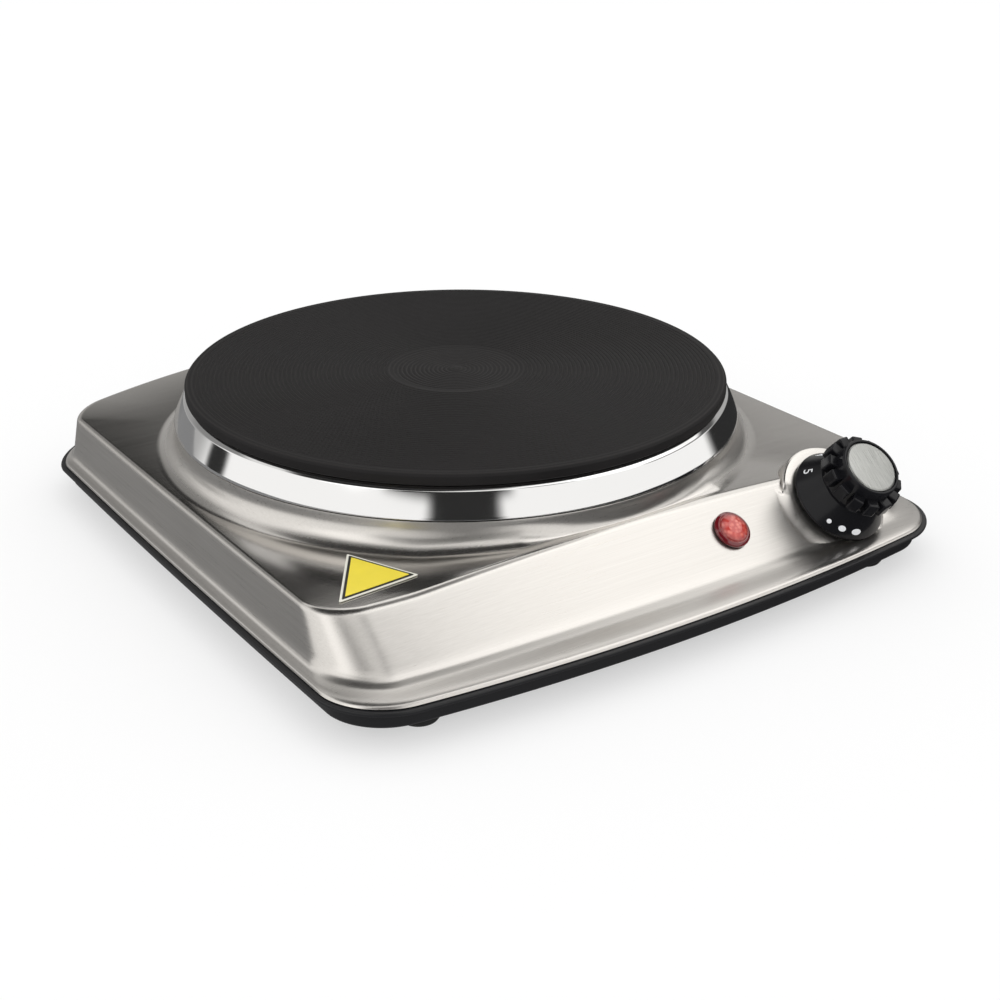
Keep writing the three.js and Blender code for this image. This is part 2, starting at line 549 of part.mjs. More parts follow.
// ---- knob and indicator -------------------------------------------------------------------------------
const KNOB_BASE = BOSS_H + KNOB_LIFT;
const CAP_R = 9;
const CAP_SEAT = KNOB_TOP - 0.7;
const KNOB_SECTION = [[0, 17.3], [SPINDLE_R + GAP, 17.3], [SPINDLE_R + GAP, 7.6], [9.5, 7.6],
  [14.6, KNOB_BASE], [KNOB_R, KNOB_BASE], [KNOB_R, KNOB_BASE + 1], [11.4, 11.2], [10.7, 11.6], [10.6, 16.5],
  [10.3, KNOB_TOP - 0.4], [10, KNOB_TOP], [CAP_R + GAP, KNOB_TOP], [CAP_R + GAP, CAP_SEAT], [0, CAP_SEAT]];

function knob() {
  const grips = Array.from({ length: KNOB_GRIPS }, (_, i) => box(...GRIP, GRIP_AT[0], 0, GRIP_AT[1])
    .rotateZ((i + 0.5) * 2 * Math.PI / KNOB_GRIPS));
  return join(turned(KNOB_SECTION, 40), ...grips);
}
onKnob("control_knob", "black_plastic", knob());
onKnob("knob_cap", "spun", disc(CAP_R, CAP_SEAT + GAP, KNOB_TOP + 0.1, 32));

const LENS_SECTION = [[0, 1], [3.8, 1], [3.8, -6], [5, -6], [5, 0.4], [LENS_R, 0.4], [LENS_R, 1.1], [5.7, 1.8],
  [4.5, 2.6], [2.4, 2.9], [0, 3]];
place("indicator_lens", "red", turned(LENS_SECTION, 28), lampAxis);
place("indicator_lamp", "glass", disc(3, -9, 0.6, 16), lampAxis);
place("indicator_clip", "zinc", ring(5.3, 7.6, -2.1, -1.3, 20), lampAxis);

const CORD_SECTION = [[2.6, -5], [4.9, -5], [4.9, 0.8], [6.2, 0.8], [6.2, 2], [5.6, 4.2], [2.6, 4.2],
  [2.6, -5]];
place("cord_bushing", "rubber", turned(CORD_SECTION, 20), inletAxis);

// ---- triangular sticker, lying on the top -------------------------------------------------------------
const STICKER_CORNERS = [[-81.3, -62.2], [-98, -87.4], [-71, -85.6]];
const STICKER_LIFT = [0.25, 0.6]; // underside and face, over the housing's top

function sticker() {
  const corners = STICKER_CORNERS;
  const steps = 5;
  const points = [];
  const id = new Map();
  for (let i = 0; i <= steps; i++) {
    for (let j = 0; j <= steps - i; j++) {
      const [a, b] = [i / steps, j / steps];
      const mix = (k) => corners[0][k] * (1 - a - b) + corners[1][k] * a + corners[2][k] * b;
      id.set(`${i},${j}`, points.length);
      points.push([mix(0), mix(1)]);
    }
  }
  const count = points.length;
  const at = (i, j) => id.get(`${i},${j}`);
  const index = [];
  for (let i = 0; i < steps; i++) {
    for (let j = 0; j < steps - i; j++) {
      const faces = [[at(i, j), at(i + 1, j), at(i, j + 1)]];
      if (j < steps - i - 1) faces.push([at(i + 1, j), at(i + 1, j + 1), at(i, j + 1)]);
      for (const [a, b, c] of faces) index.push(a, b, c, a + count, c + count, b + count);
    }
  }
  const border = [];
  for (let k = 0; k < steps; k++) border.push([at(k, 0), at(k + 1, 0)]);
  for (let k = 0; k < steps; k++) border.push([at(steps - k, k), at(steps - k - 1, k + 1)]);
  for (let k = 0; k < steps; k++) border.push([at(0, steps - k), at(0, steps - k - 1)]);
  for (const [a, b] of border) index.push(b, a, a + count, b, a + count, b + count);
  const layer = (lift) => points.map(([x, y]) => [x, y, topHeight(x, y) + lift]);
  const both = [...layer(STICKER_LIFT[1]), ...layer(STICKER_LIFT[0])];
  const geometry = new THREE.BufferGeometry();
  geometry.setAttribute("position", new THREE.Float32BufferAttribute(both.flat(), 3));
  geometry.setIndex(index);
  return geometry;
}
place("heat_sticker", "sticker", sticker());

export default model;
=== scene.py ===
"""Hot plate burner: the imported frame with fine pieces, materials, a pale floor and soft studio light.
Lengths are in millimetres in the builders below and become metres when a mesh is made."""
import math

import bmesh
import bpy
import numpy as np
from mathutils import Matrix, Vector


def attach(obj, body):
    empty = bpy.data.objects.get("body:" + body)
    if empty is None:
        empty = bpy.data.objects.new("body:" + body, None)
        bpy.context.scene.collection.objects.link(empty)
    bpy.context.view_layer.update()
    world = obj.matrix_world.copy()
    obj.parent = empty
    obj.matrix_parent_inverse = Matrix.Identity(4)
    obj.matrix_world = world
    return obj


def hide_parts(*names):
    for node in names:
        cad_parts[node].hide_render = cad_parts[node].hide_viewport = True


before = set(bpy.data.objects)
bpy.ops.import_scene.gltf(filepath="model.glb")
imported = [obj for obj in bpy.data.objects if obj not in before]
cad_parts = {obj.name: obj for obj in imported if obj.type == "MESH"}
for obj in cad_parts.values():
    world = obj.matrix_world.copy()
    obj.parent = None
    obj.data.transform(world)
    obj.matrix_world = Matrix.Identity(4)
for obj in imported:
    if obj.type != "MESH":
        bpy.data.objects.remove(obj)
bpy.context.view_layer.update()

MM = 0.001

# ---- dimensions shared with the frame, in millimetres ----
WIDTH, DEPTH = 230.8, 258.8
BOW_FRONT, BOW_BACK, BOW_SIDE = 8.3, 28.0, 1.0
CORNER_R = 20.7
PAN_BOTTOM, PAN_RIM, PAN_INSET = 4.8, 12.1, 3.8
LIP_Z, LIP_INSET = 12.4, 1.6
TOP_Z, TOP_HALF_WIDTH, TOP_BACK, TOP_CORNER_R = 29.0, 107.0, 120.5, 13.5
EDGE_ROUND = 2.0
CROWN, CROWN_HALF, CROWN_BLEND, FRONT_ONLY = 2.6, 78.0, 0.02, 20.0
SHEET = 0.8
PANEL_TILT = math.radians(39)
PANEL_Y, PANEL_Z, PANEL_BOW = -94.5, 32.0, 5e-4
PLATE_Y, PLATE_R, PLATE_TOP, PLATE_RIM = 3.9, 92.5, 51.4, 4.0
COLLAR_R, COLLAR_Z, COLLAR_ROUND, FLARE_R, OPENING_R = 96.8, 38.0, 0.5, 104.0, 90.5
KNOB_X, KNOB_Z, KNOB_R, KNOB_TOP = 76.6, 21.9, 16.3, 21.6
KNOB_BASE = 2.3
BOSS_R, BOSS_H = 20.0, 1.6
LAMP_X, LAMP_Z, LENS_R = 31.3, 23.4, 6.2
FOOT_X, FOOT_Y, FOOT_R = 86.5, (-109.8, 90.0), 6.3
POST_X, POST_Y = 93.0, (-77.0, 64.0)
INLET_Z = 21.0
HALF = WIDTH / 2

# ---- values of the scene alone, in millimetres ----
GROOVE_PITCH, GROOVE_WIDTH, GROOVE_DEPTH, RECESS = 1.52, 0.7, 0.2, 0.3
# Bends in degrees above which an edge stays hard, on plain pieces and on pieces that are cut.
SHARP, CUT_SHARP = 32.0, 35.0


# ---- mesh helpers ----
def placed(name, data):
    obj = bpy.data.objects.new(name, data)
    bpy.context.scene.collection.objects.link(obj)
    return obj


def mesh_object(name, points, faces, sharp=SHARP, place=None):
    """A smooth-shaded object from points in millimetres; place is a 4x4 matrix in millimetres."""
    data = bpy.data.meshes.new(name)
    pts = np.asarray(points, float).reshape(-1, 3)
    if place is not None:
        m = np.array(place)
        pts = pts @ m[:3, :3].T + m[:3, 3]
    data.from_pydata((pts * MM).tolist(), [], faces)
    bm = bmesh.new()
    bm.from_mesh(data)
    bmesh.ops.remove_doubles(bm, verts=bm.verts, dist=1e-7)
    bmesh.ops.recalc_face_normals(bm, faces=bm.faces)
    bm.to_mesh(data)
    bm.free()
    obj = placed(name, data)
    smooth(obj, sharp)
    return obj


def smooth(obj, sharp):
    """Smooth shading, with edges that bend by more than sharp degrees kept hard."""
    obj.data.shade_smooth()
    obj.data.set_sharp_from_angle(angle=math.radians(sharp))


def skin_faces(row_count, column_count, close_rows=True):
    """Four-sided faces between rows of points; each row is a closed loop of column_count points."""
    faces = []
    for r in range(row_count if close_rows else row_count - 1):
        this, after = r * column_count, (r + 1) % row_count * column_count
        for c in range(column_count):
            d = (c + 1) % column_count
            faces.append((this + c, this + d, after + d, after + c))
    return faces


def capped(name, rows, sharp=SHARP, place=None):
    """Object with a skin over rows of points and with flat ends."""
    columns, last = len(rows[0]), (len(rows) - 1) * len(rows[0])
    faces = skin_faces(len(rows), columns, close_rows=False)
    faces += [tuple(range(columns))[::-1], tuple(last + i for i in range(columns))]
    return mesh_object(name, [p for row in rows for p in row], faces, sharp, place)


def turned(name, profile, segments=128, sharp=SHARP, place=None):
    """Object whose profile of (radius, z) is turned about Z. Radius 0 makes a pole."""
    points, rings = [], []
    for r, z in profile:
        if r < 1e-6:
            rings.append([len(points)])
            points.append((0, 0, z))
        else:
            rings.append(list(range(len(points), len(points) + segments)))
            for s in range(segments):
                a = 2 * math.pi * s / segments
                points.append((r * math.cos(a), r * math.sin(a), z))
    faces = []
    for a, b in zip(rings, rings[1:]):
        for s in range(segments):
            t = (s + 1) % segments
            if len(a) == 1 and len(b) > 1:
                faces.append((a[0], b[t], b[s]))
            elif len(b) == 1 and len(a) > 1:
                faces.append((a[s], a[t], b[0]))
            elif len(a) > 1 and len(b) > 1:
                faces.append((a[s], a[t], b[t], b[s]))
    return mesh_object(name, points, faces, sharp, place)


def rounded(corners, steps=4):
    """Profile whose corners (x, z, radius) are rounded by arcs; a radius of 0 keeps the corner."""
    out = []
    for i, (x, z, radius) in enumerate(corners):
        if radius <= 0 or i in (0, len(corners) - 1):
            out.append((x, z))
            continue
        p = Vector((x, z))
        a = (Vector(corners[i - 1][:2]) - p).normalized()
        b = (Vector(corners[i + 1][:2]) - p).normalized()
        half = a.angle(b) / 2
        cut = radius / math.tan(half)
        start, end = p + a * cut, p + b * cut
        for k in range(steps + 1):
            t = k / steps
            q = start * (1 - t) ** 2 + p * 2 * t * (1 - t) + end * t ** 2
            out.append((q.x, q.y))
    return out


def evaluated_mesh(obj):
    """A new mesh with the shape that obj has after its modifiers, or as text."""
    bpy.context.view_layer.update()
    return bpy.data.meshes.new_from_object(obj.evaluated_get(bpy.context.evaluated_depsgraph_get()))


def boolean(obj, other, operation):
    """obj joined to or cut by other, which is used up."""
    mod = obj.modifiers.new("cut", "BOOLEAN")
    mod.operation = operation
    mod.solver = "EXACT"
    mod.object = other
    done = evaluated_mesh(obj)
    obj.modifiers.clear()
    obj.data = done
    bpy.data.objects.remove(other, do_unlink=True)


def drill(obj, radius, start, end, place, segments=48):
    """Cuts a round hole into obj between the heights start and end of the frame place."""
    profile = [(0, start), (radius, start), (radius, end), (0, end)]
    boolean(obj, turned("drill", profile, segments, place=place), "DIFFERENCE")


def dress(obj, material, node=None, body="chassis"):
    """Gives a new piece its material, body and slot, and hides the CAD node that it stands for, if any."""
    obj.data.materials.clear()
    obj.data.materials.append(material)
    if node:
        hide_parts(node)
    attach(obj, body)


def eased(t):
    """0 to 1 as t goes from 0 to 1, level at both ends."""
    return t * t * (3 - 2 * t)


def curve_through(points, count):
    """Monotone cubic curve through 2-D points, sampled at count places spread by chord length."""
    p = np.asarray(points, float)
    s = np.concatenate([[0], np.cumsum(np.hypot(*np.diff(p, axis=0).T))])
    at = np.linspace(0, s[-1], count)
    out = []
    for k in (0, 1):
        h = np.diff(s)
        d = np.diff(p[:, k]) / h
        m = np.zeros(len(p))
        m[0], m[-1] = d[0], d[-1]
        for i in range(1, len(p) - 1):
            if d[i - 1] * d[i] > 0:
                w1, w2 = 2 * h[i] + h[i - 1], h[i] + 2 * h[i - 1]
                m[i] = (w1 + w2) / (w1 / d[i - 1] + w2 / d[i])
        i = np.clip(np.searchsorted(s, at, side="right") - 1, 0, len(h) - 1)
        t = (at - s[i]) / h[i]
        out.append((2 * t ** 3 - 3 * t ** 2 + 1) * p[i, k] + (t ** 3 - 2 * t ** 2 + t) * h[i] * m[i]
                   + (-2 * t ** 3 + 3 * t ** 2) * p[i + 1, k] + (t ** 3 - t ** 2) * h[i] * m[i + 1])
    return list(zip(*out))


# ---- plan outline and the housing's surface ----
COLUMNS = {"front": 120, "corner": 26, "side": 56, "back": 90}


def outline(half, front, back, radius, bow_front, bow_back, bow_side):
    """Loop of (x, y, weight) round a rectangle with round corners and bowed sides.
    The weight is 1 along the front, 0 along the sides and back, and changes over at the front corners."""
    points = []

    def line(x0, y0, x1, y1, n, weight):
        for i in range(n):
            points.append((x0 + (x1 - x0) * i / n, y0 + (y1 - y0) * i / n, weight))

    def corner(cx, cy, start, w0, w1):
        for i in range(COLUMNS["corner"]):
            t = i / COLUMNS["corner"]
            a = math.radians(start + 90 * t)
            points.append((cx + radius * math.cos(a), cy + radius * math.sin(a), w0 + (w1 - w0) * eased(t)))

    x, f, b = half - radius, front + radius, back - radius
    line(-x, front, x, front, COLUMNS["front"], 1)
    corner(x, f, 270, 1, 0)
    line(half, f, half, b, COLUMNS["side"], 0)
    corner(x, b, 0, 0, 0)
    line(x, back, -x, back, COLUMNS["back"], 0)
    corner(-x, b, 90, 0, 0)
    line(-half, b, -half, f, COLUMNS["side"], 0)
    corner(-x, f, 180, 0, 1)
    middle, reach = (front + back) / 2, (back - front) / 2
    out = []
    for px, py, weight in points:
        along, across = (py - middle) / reach, px / half
        bow = bow_front if py < middle else -bow_back
        sign = (px > 0) - (px < 0)
        bowed_x = px - sign * bow_side * along ** 2 * abs(across)
        bowed_y = py + bow * across ** 2 * abs(along)
        out.append((bowed_x, bowed_y, weight))
    return out


def base_outline(inset):
    """Outline of the whole base, drawn in by inset."""
    return outline(HALF - inset, -DEPTH / 2 + inset, DEPTH / 2 - inset, CORNER_R - inset,
                   BOW_FRONT, BOW_BACK, BOW_SIDE)


def panel_y(x, z):
    """Where the sloping control panel is at x and height z."""
    return PANEL_Y + PANEL_BOW * x * x - (PANEL_Z - z) / math.tan(PANEL_TILT)


FRONT_EDGE = PLATE_Y - panel_y(0, TOP_Z + CROWN)
# Just short of 1, so that the turn up to the collar stops before it is upright.
QUARTER_TURN = 0.999


def flat_top(x, y):
    """Height of the housing's top before it turns up to the collar, raised in front of the plate."""
    forward = PLATE_Y - y
    if forward < FRONT_ONLY:
        return TOP_Z
    rest = 1 - (x / forward * FRONT_EDGE / CROWN_HALF) ** 2
    return TOP_Z + CROWN * (rest + math.sqrt(rest * rest + CROWN_BLEND)) / 2


def top_height(x, y, start=FLARE_R):
    """Height of the top, which turns up from the radius start to the collar."""
    u = min(max((start - math.hypot(x, y - PLATE_Y)) / (start - COLLAR_R), 0), 1)
    level = flat_top(x, y)
    return level + (COLLAR_Z - COLLAR_ROUND - level) * (1 - math.sqrt(1 - u * u * QUARTER_TURN))


TOP_BOW_SIDE, EDGE_PASSES = 0.4, 6


def top_edge():
    """Loop where the walls meet the top. Its front is where the panel meets the crowned top."""
    out = []
    bow_front, bow_back = PANEL_BOW * TOP_HALF_WIDTH ** 2, BOW_BACK * (TOP_HALF_WIDTH / HALF) ** 2
    for x, y, weight in outline(TOP_HALF_WIDTH, panel_y(0, TOP_Z), TOP_BACK, TOP_CORNER_R,
                                bow_front, bow_back, TOP_BOW_SIDE):
        if weight == 1:
            for _ in range(EDGE_PASSES):
                y = panel_y(x, flat_top(x, y))
        out.append((x, y, flat_top(x, y)))
    return out


# Foot of the wall from the lip upwards: shares of the way in and of the way up to the top's edge.
PANEL_SECTION = [(0, 0), (0.01, 0.035), (0.035, 0.06), (0.08, 0.073), (0.28, 0.087), (0.36, 0.125),
                 (0.43, 0.195)]
SIDE_SECTION = [(0, 0), (0.04, 0.04), (0.12, 0.06), (0.24, 0.075), (0.4, 0.11), (0.52, 0.17), (0.6, 0.26)]
# Shares of the way out from the collar to the start of its turn, for the rows of the coarse surface.
COARSE_SHARES = (1, 0.55, 0.27, 0.1, 0)
# Steps of the straight wall, and how much the rows of the top crowd towards the collar.
WALL_STEPS, CROWDING = 8, 1.6
# The top turns up no nearer than this to its edge, and the collar's own small rounding.
EDGE_GAP, COLLAR_EASE = 0.3, 0.15


def wall_sections(count):
    """Section from the lip to the foot of the straight wall, for the panel and for the sides."""
    if count == len(PANEL_SECTION):
        return PANEL_SECTION, SIDE_SECTION
    return curve_through(PANEL_SECTION, count), curve_through(SIDE_SECTION, count)


def from_plate(point, r):
    """The place r from the plate's axis on the way to point."""
    distance = math.hypot(point.x, point.y - PLATE_Y)
    return point.x * r / distance, PLATE_Y + (point.y - PLATE_Y) * r / distance


def housing_rows(wall, round_steps, top_steps):
    """Loops of points over the outside of the housing, from its lip up to the plate's opening."""
    detailed = wall > len(PANEL_SECTION)
    lip, edge = base_outline(LIP_INSET), top_edge()
    panel, side = wall_sections(wall)
    rows = []
    for (pa, pu), (sa, su) in zip(panel, side):
        row = []
        for (x, y, weight), (ex, ey, ez) in zip(lip, edge):
            across = sa * (1 - weight) + pa * weight
            up = su * (1 - weight) + pu * weight
            row.append((x + (ex - x) * across, y + (ey - y) * across, LIP_Z + (ez - LIP_Z) * up))
        rows.append(row)
    foot = rows[-1]
    ends, starts = [], []
    for p, q in zip(edge, foot):
        e, f = Vector(p), Vector(q)
        ends.append(e + (f - e).normalized() * EDGE_ROUND)
        d = Vector((-e.x, PLATE_Y - e.y))
        length = min(EDGE_ROUND, 0.45 * (d.length - COLLAR_R))
        n = e.xy + d.normalized() * length
        starts.append(Vector((n.x, n.y, flat_top(n.x, n.y))))
    if detailed:
        for k in range(1, WALL_STEPS):
            rows.append([tuple(Vector(f).lerp(e, k / WALL_STEPS)) for f, e in zip(foot, ends)])
    for k in range(round_steps + 1):
        t = k / round_steps
        rows.append([tuple(a * (1 - t) ** 2 + Vector(p) * 2 * t * (1 - t) + b * t * t)
                     for a, p, b in zip(ends, edge, starts)])
    shares = COARSE_SHARES
    if detailed:
        shares = [max(0.0, math.cos(math.pi / 2 * k / top_steps)) ** CROWDING for k in range(top_steps + 1)]
    for share in shares:
        row = []
        for s in starts:
            begin = min(math.hypot(s.x, s.y - PLATE_Y) - EDGE_GAP, FLARE_R)
            nx, ny = from_plate(s, COLLAR_R + (begin - COLLAR_R) * share)
            row.append((nx, ny, top_height(nx, ny, begin)))
        rows.append(row)
    circles = [(COLLAR_R - COLLAR_ROUND, COLLAR_Z), (OPENING_R, COLLAR_Z)]
    if detailed:
        circles.insert(0, (COLLAR_R - COLLAR_EASE, COLLAR_Z - COLLAR_EASE))
    for r, z in circles:
        rows.append([(*from_plate(s, r), z) for s in starts])
    return rows


def inward(rows, thickness):
    """The rows moved in by thickness, square to the surface."""
    p = np.asarray(rows, float)
    along = np.roll(p, -1, axis=1) - np.roll(p, 1, axis=1)
    pad = np.concatenate([p[:1], p, p[-1:]])
    n = np.cross(along, pad[2:] - pad[:-2])
    return p - thickness * n / np.linalg.norm(n, axis=2, keepdims=True)


def axis_frame(x, z):
    """Matrix in millimetres whose +Z stands out square from the control panel at x, z, with +X level."""
    out = Vector((2 * PANEL_BOW * x, -1, 1 / math.tan(PANEL_TILT))).normalized()
    level = Vector((1, 2 * PANEL_BOW * x, 0)).normalized()
    m = Matrix((level, out.cross(level), out)).transposed().to_4x4()
    m.translation = (x, panel_y(x, z), z)
    return m


knob_frame = axis_frame(KNOB_X, KNOB_Z)
lamp_frame = axis_frame(LAMP_X, LAMP_Z)
plate_frame = Matrix.Translation((0, PLATE_Y, 0))

fine = housing_rows(wall=26, round_steps=8, top_steps=26)
coarse = housing_rows(wall=len(PANEL_SECTION), round_steps=2, top_steps=len(COARSE_SHARES) - 1)
# Rows of the coarse surface at the foot and the top of the straight wall.
WALL_FOOT, WALL_TOP = len(PANEL_SECTION) - 1, len(PANEL_SECTION)


def inlet_frame():
    """Matrix in millimetres whose +Z stands out square from the middle of the back wall."""
    low, high = np.asarray(coarse[WALL_FOOT]), np.asarray(coarse[WALL_TOP])
    from_middle = np.where(low[:, 1] > 0, np.abs(low[:, 0]), DEPTH)
    c = int(from_middle.argmin())
    rise, run = high[c, 2] - low[c, 2], high[c, 1] - low[c, 1]
    share = (INLET_Z - low[c, 2]) / rise
    m = Matrix.Rotation(-math.atan2(rise, -run), 4, "X")
    m.translation = (0, low[c, 1] + run * share, INLET_Z)
    return m


# ---- node materials ----
class Tree:
    """Short builder for the nodes of one tree."""

    def __init__(self, tree):
        self.tree = tree

    def add(self, kind, **props):
        node = self.tree.nodes.new(kind)
        for key, value in props.items():
            setattr(node, key, value)
        return node

    def feed(self, socket, value):
        """Links value into socket where it is a node's output, and sets it where it is a constant."""
        if isinstance(value, bpy.types.NodeSocket):
            self.tree.links.new(value, socket)
        else:
            socket.default_value = value

    def math(self, operation, a, b=0.0):
        node = self.add("ShaderNodeMath", operation=operation)
        self.feed(node.inputs[0], a)
        self.feed(node.inputs[1], b)
        return node.outputs[0]

    def vector(self, operation, a, b):
        """Result of a vector sum; a distance or dot product comes out as a plain value."""
        node = self.add("ShaderNodeVectorMath", operation=operation)
        self.feed(node.inputs[0], a)
        self.feed(node.inputs[1], b)
        return node.outputs["Value" if operation in ("DISTANCE", "DOT_PRODUCT") else "Vector"]

    def separated(self, vector):
        node = self.add("ShaderNodeSeparateXYZ")
        self.feed(node.inputs[0], vector)
        return node.outputs

    def blend(self, factor, a, b):
        """The value a where factor is 0 and b where it is 1."""
        node = self.add("ShaderNodeMix", data_type="FLOAT")
        self.feed(node.inputs[0], factor)
        self.feed(node.inputs[2], a)
        self.feed(node.inputs[3], b)
        return node.outputs[0]

    def by_ray(self, for_mirrors, otherwise, output):
        """Shows one shader to reflected rays and the other to all the rest."""
        pick = self.add("ShaderNodeMixShader")
        self.feed(pick.inputs["Fac"], self.add("ShaderNodeLightPath").outputs["Is Glossy Ray"])
        self.feed(pick.inputs[1], otherwise)
        self.feed(pick.inputs[2], for_mirrors)
        self.feed(output.inputs["Surface"], pick.outputs[0])


class Nodes(Tree):
    """A node material around one Principled shader."""

    def __init__(self, name, color, roughness, metallic=0.0, **constants):
        self.mat = bpy.data.materials.new(name)
        self.mat.use_nodes = True
        super().__init__(self.mat.node_tree)
        self.bsdf = self.tree.nodes["Principled BSDF"]
        self.bsdf.inputs["Base Color"].default_value = (*color, 1)
        self.bsdf.inputs["Roughness"].default_value = roughness
        self.bsdf.inputs["Metallic"].default_value = metallic
        for key, value in constants.items():
            self.bsdf.inputs[key.replace("_", " ")].default_value = value
        self.mat.diffuse_color = (*color, 1)
        self.coords = self.add("ShaderNodeTexCoord").outputs["Object"]

    def stretched(self, scale):
        """Object coordinates times a scale for each axis, for textures with a direction."""
        node = self.add("ShaderNodeMapping")
        node.inputs["Scale"].default_value = scale
        self.feed(node.inputs["Vector"], self.coords)
        return node.outputs["Vector"]

    def noise(self, scale, detail=3.0, roughness=0.55, vector=None):
        node = self.add("ShaderNodeTexNoise")
        self.feed(node.inputs["Vector"], vector or self.coords)
        node.inputs["Scale"].default_value = scale
        node.inputs["Detail"].default_value = detail
        node.inputs["Roughness"].default_value = roughness
        return node.outputs["Fac"]

    def spread(self, value, low, high, from_low=0.0, from_high=1.0):
        """Goes from low to high as value goes from from_low to from_high, and stays level beyond."""
        node = self.add("ShaderNodeMapRange")
        self.feed(node.inputs["Value"], value)
        for key, v in (("From Min", from_low), ("From Max", from_high), ("To Min", low), ("To Max", high)):
            node.inputs[key].default_value = v
        return node.outputs["Result"]

    def mix(self, factor, a, b):
        """The colour a where factor is 0 and b where it is 1."""
        node = self.add("ShaderNodeMix", data_type="RGBA")
        self.feed(node.inputs[0], factor)
        for socket, value in ((node.inputs[6], a), (node.inputs[7], b)):
            self.feed(socket, value if isinstance(value, bpy.types.NodeSocket) else (*value, 1))
        return node.outputs[2]

    def bump(self, height, strength, distance_mm):
        node = self.add("ShaderNodeBump")
        node.inputs["Strength"].default_value = strength
        node.inputs["Distance"].default_value = distance_mm * MM
        self.feed(node.inputs["Height"], height)
        self.to("Normal", node.outputs["Normal"])

    def to(self, socket, value):
        self.feed(self.bsdf.inputs[socket], value)


DULLER = 0.14


def brushed_steel():
    """Steel brushed from side to side on the top and front, and lengthwise on the side walls."""
    n = Nodes("brushed_housing_steel", (0.60, 0.58, 0.555), 0.24, 1.0, Anisotropic=0.5)
    facing = n.separated(n.add("ShaderNodeTexCoord").outputs["Normal"])
    on_side = n.spread(n.math("ABSOLUTE", facing[0]), 0.0, 1.0, 0.55, 0.8)
    level = n.noise(1.0, 4, 0.6, n.stretched((14, 2600, 2600)))
    level_fine = n.noise(1.0, 2, 0.5, n.stretched((60, 7000, 7000)))
    along = n.noise(1.0, 4, 0.6, n.stretched((2600, 30, 2600)))
    streak = n.math("ADD", n.math("MULTIPLY", level, 0.6), n.math("MULTIPLY", level_fine, 0.4))
    grain = n.blend(on_side, streak, along)
    cloud = n.noise(18, 2, 0.5)
    shade = n.math("ADD", n.math("MULTIPLY", grain, 0.8), n.math("MULTIPLY", cloud, 0.2))
    n.to("Base Color", n.mix(n.spread(shade, 0, 1, 0.3, 0.7), (0.55, 0.53, 0.505), (0.66, 0.64, 0.615)))
    # Where the sheet slopes or lies low, it is duller than on the level top.
    sloping = n.spread(facing[2], DULLER, 0.0, 0.8, 0.95)
    low = n.spread(n.separated(n.coords)[2], DULLER, 0.0, 18 * MM, 24 * MM)
    n.to("Roughness", n.math("ADD", n.math("MAXIMUM", sloping, low), n.spread(shade, 0.12, 0.2, 0.3, 0.7)))
    direction = n.add("ShaderNodeMix", data_type="VECTOR")
    for socket, value in ((0, on_side), (4, (1, 0, 0)), (5, (0, 1, 0))):
        n.feed(direction.inputs[socket], value)
    n.to("Tangent", direction.outputs[1])
    n.bump(grain, 0.06, 0.02)
    return n.mat


def chrome():
    n = Nodes("ring_chrome", (0.74, 0.74, 0.743), 0.06, 1.0)
    n.to("Roughness", n.spread(n.noise(60, 3), 0.045, 0.1))
    n.bump(n.noise(120, 2), 0.03, 0.05)
    return n.mat


def plate_iron():
    """Dark iron whose turned grooves, rings about the plate's axis, are painted a little lighter as painted
    sheen.
    """
    n = Nodes("plate_iron", (0.012, 0.011, 0.0113), 0.6, 0.0, Specular_IOR_Level=0.16)
    fine_noise = n.noise(2600, 3, 0.6)
    patch = n.noise(22, 3, 0.55)
    radius = n.vector("DISTANCE", n.vector("MULTIPLY", n.coords, (1, 1, 0)), (0, PLATE_Y * MM, 0))
    # Rings about the axis at the groove pitch, painted lighter: painted sheen on the turned grooves.
    turns = n.math("SINE", n.math("MULTIPLY", radius, 2 * math.pi / (GROOVE_PITCH * MM)))
    worn = n.mix(n.spread(patch, 0, 1, 0.35, 0.65), (0.0095, 0.0088, 0.009), (0.0145, 0.0134, 0.0138))
    n.to("Base Color", n.mix(n.spread(turns, 0, 0.5, -0.2, 1.0), worn, (0.036, 0.033, 0.032)))
    n.to("Roughness", n.spread(patch, 0.52, 0.64, 0.3, 0.7))
    n.bump(fine_noise, 0.35, 0.04)
    return n.mat


def black_paint():
    n = Nodes("pan_black", (0.011, 0.011, 0.0125), 0.38, 0.0, Specular_IOR_Level=0.35)
    n.to("Roughness", n.spread(n.noise(45, 3), 0.32, 0.46))
    n.bump(n.noise(900, 4, 0.6), 0.18, 0.05)
    return n.mat


def knob_plastic():
    n = Nodes("knob_black", (0.008, 0.008, 0.0095), 0.16, 0.0, Specular_IOR_Level=0.16, Coat_Weight=0.08,
              Coat_Roughness=0.08)
    n.to("Roughness", n.spread(n.noise(90, 3), 0.13, 0.24))
    n.bump(n.noise(700, 3), 0.06, 0.03)
    return n.mat


def spun_metal():
    n = Nodes("cap_spun_metal", (0.62, 0.625, 0.6), 0.3, 1.0, Anisotropic=0.4)
    lines = n.noise(1.0, 3, 0.6, n.stretched((3800, 160, 160)))
    n.to("Base Color", n.mix(n.spread(lines, 0, 1, 0.3, 0.7), (0.26, 0.265, 0.255), (0.46, 0.465, 0.45)))
    n.to("Roughness", n.spread(lines, 0.24, 0.42, 0.3, 0.7))
    n.bump(lines, 0.4, 0.03)
    return n.mat


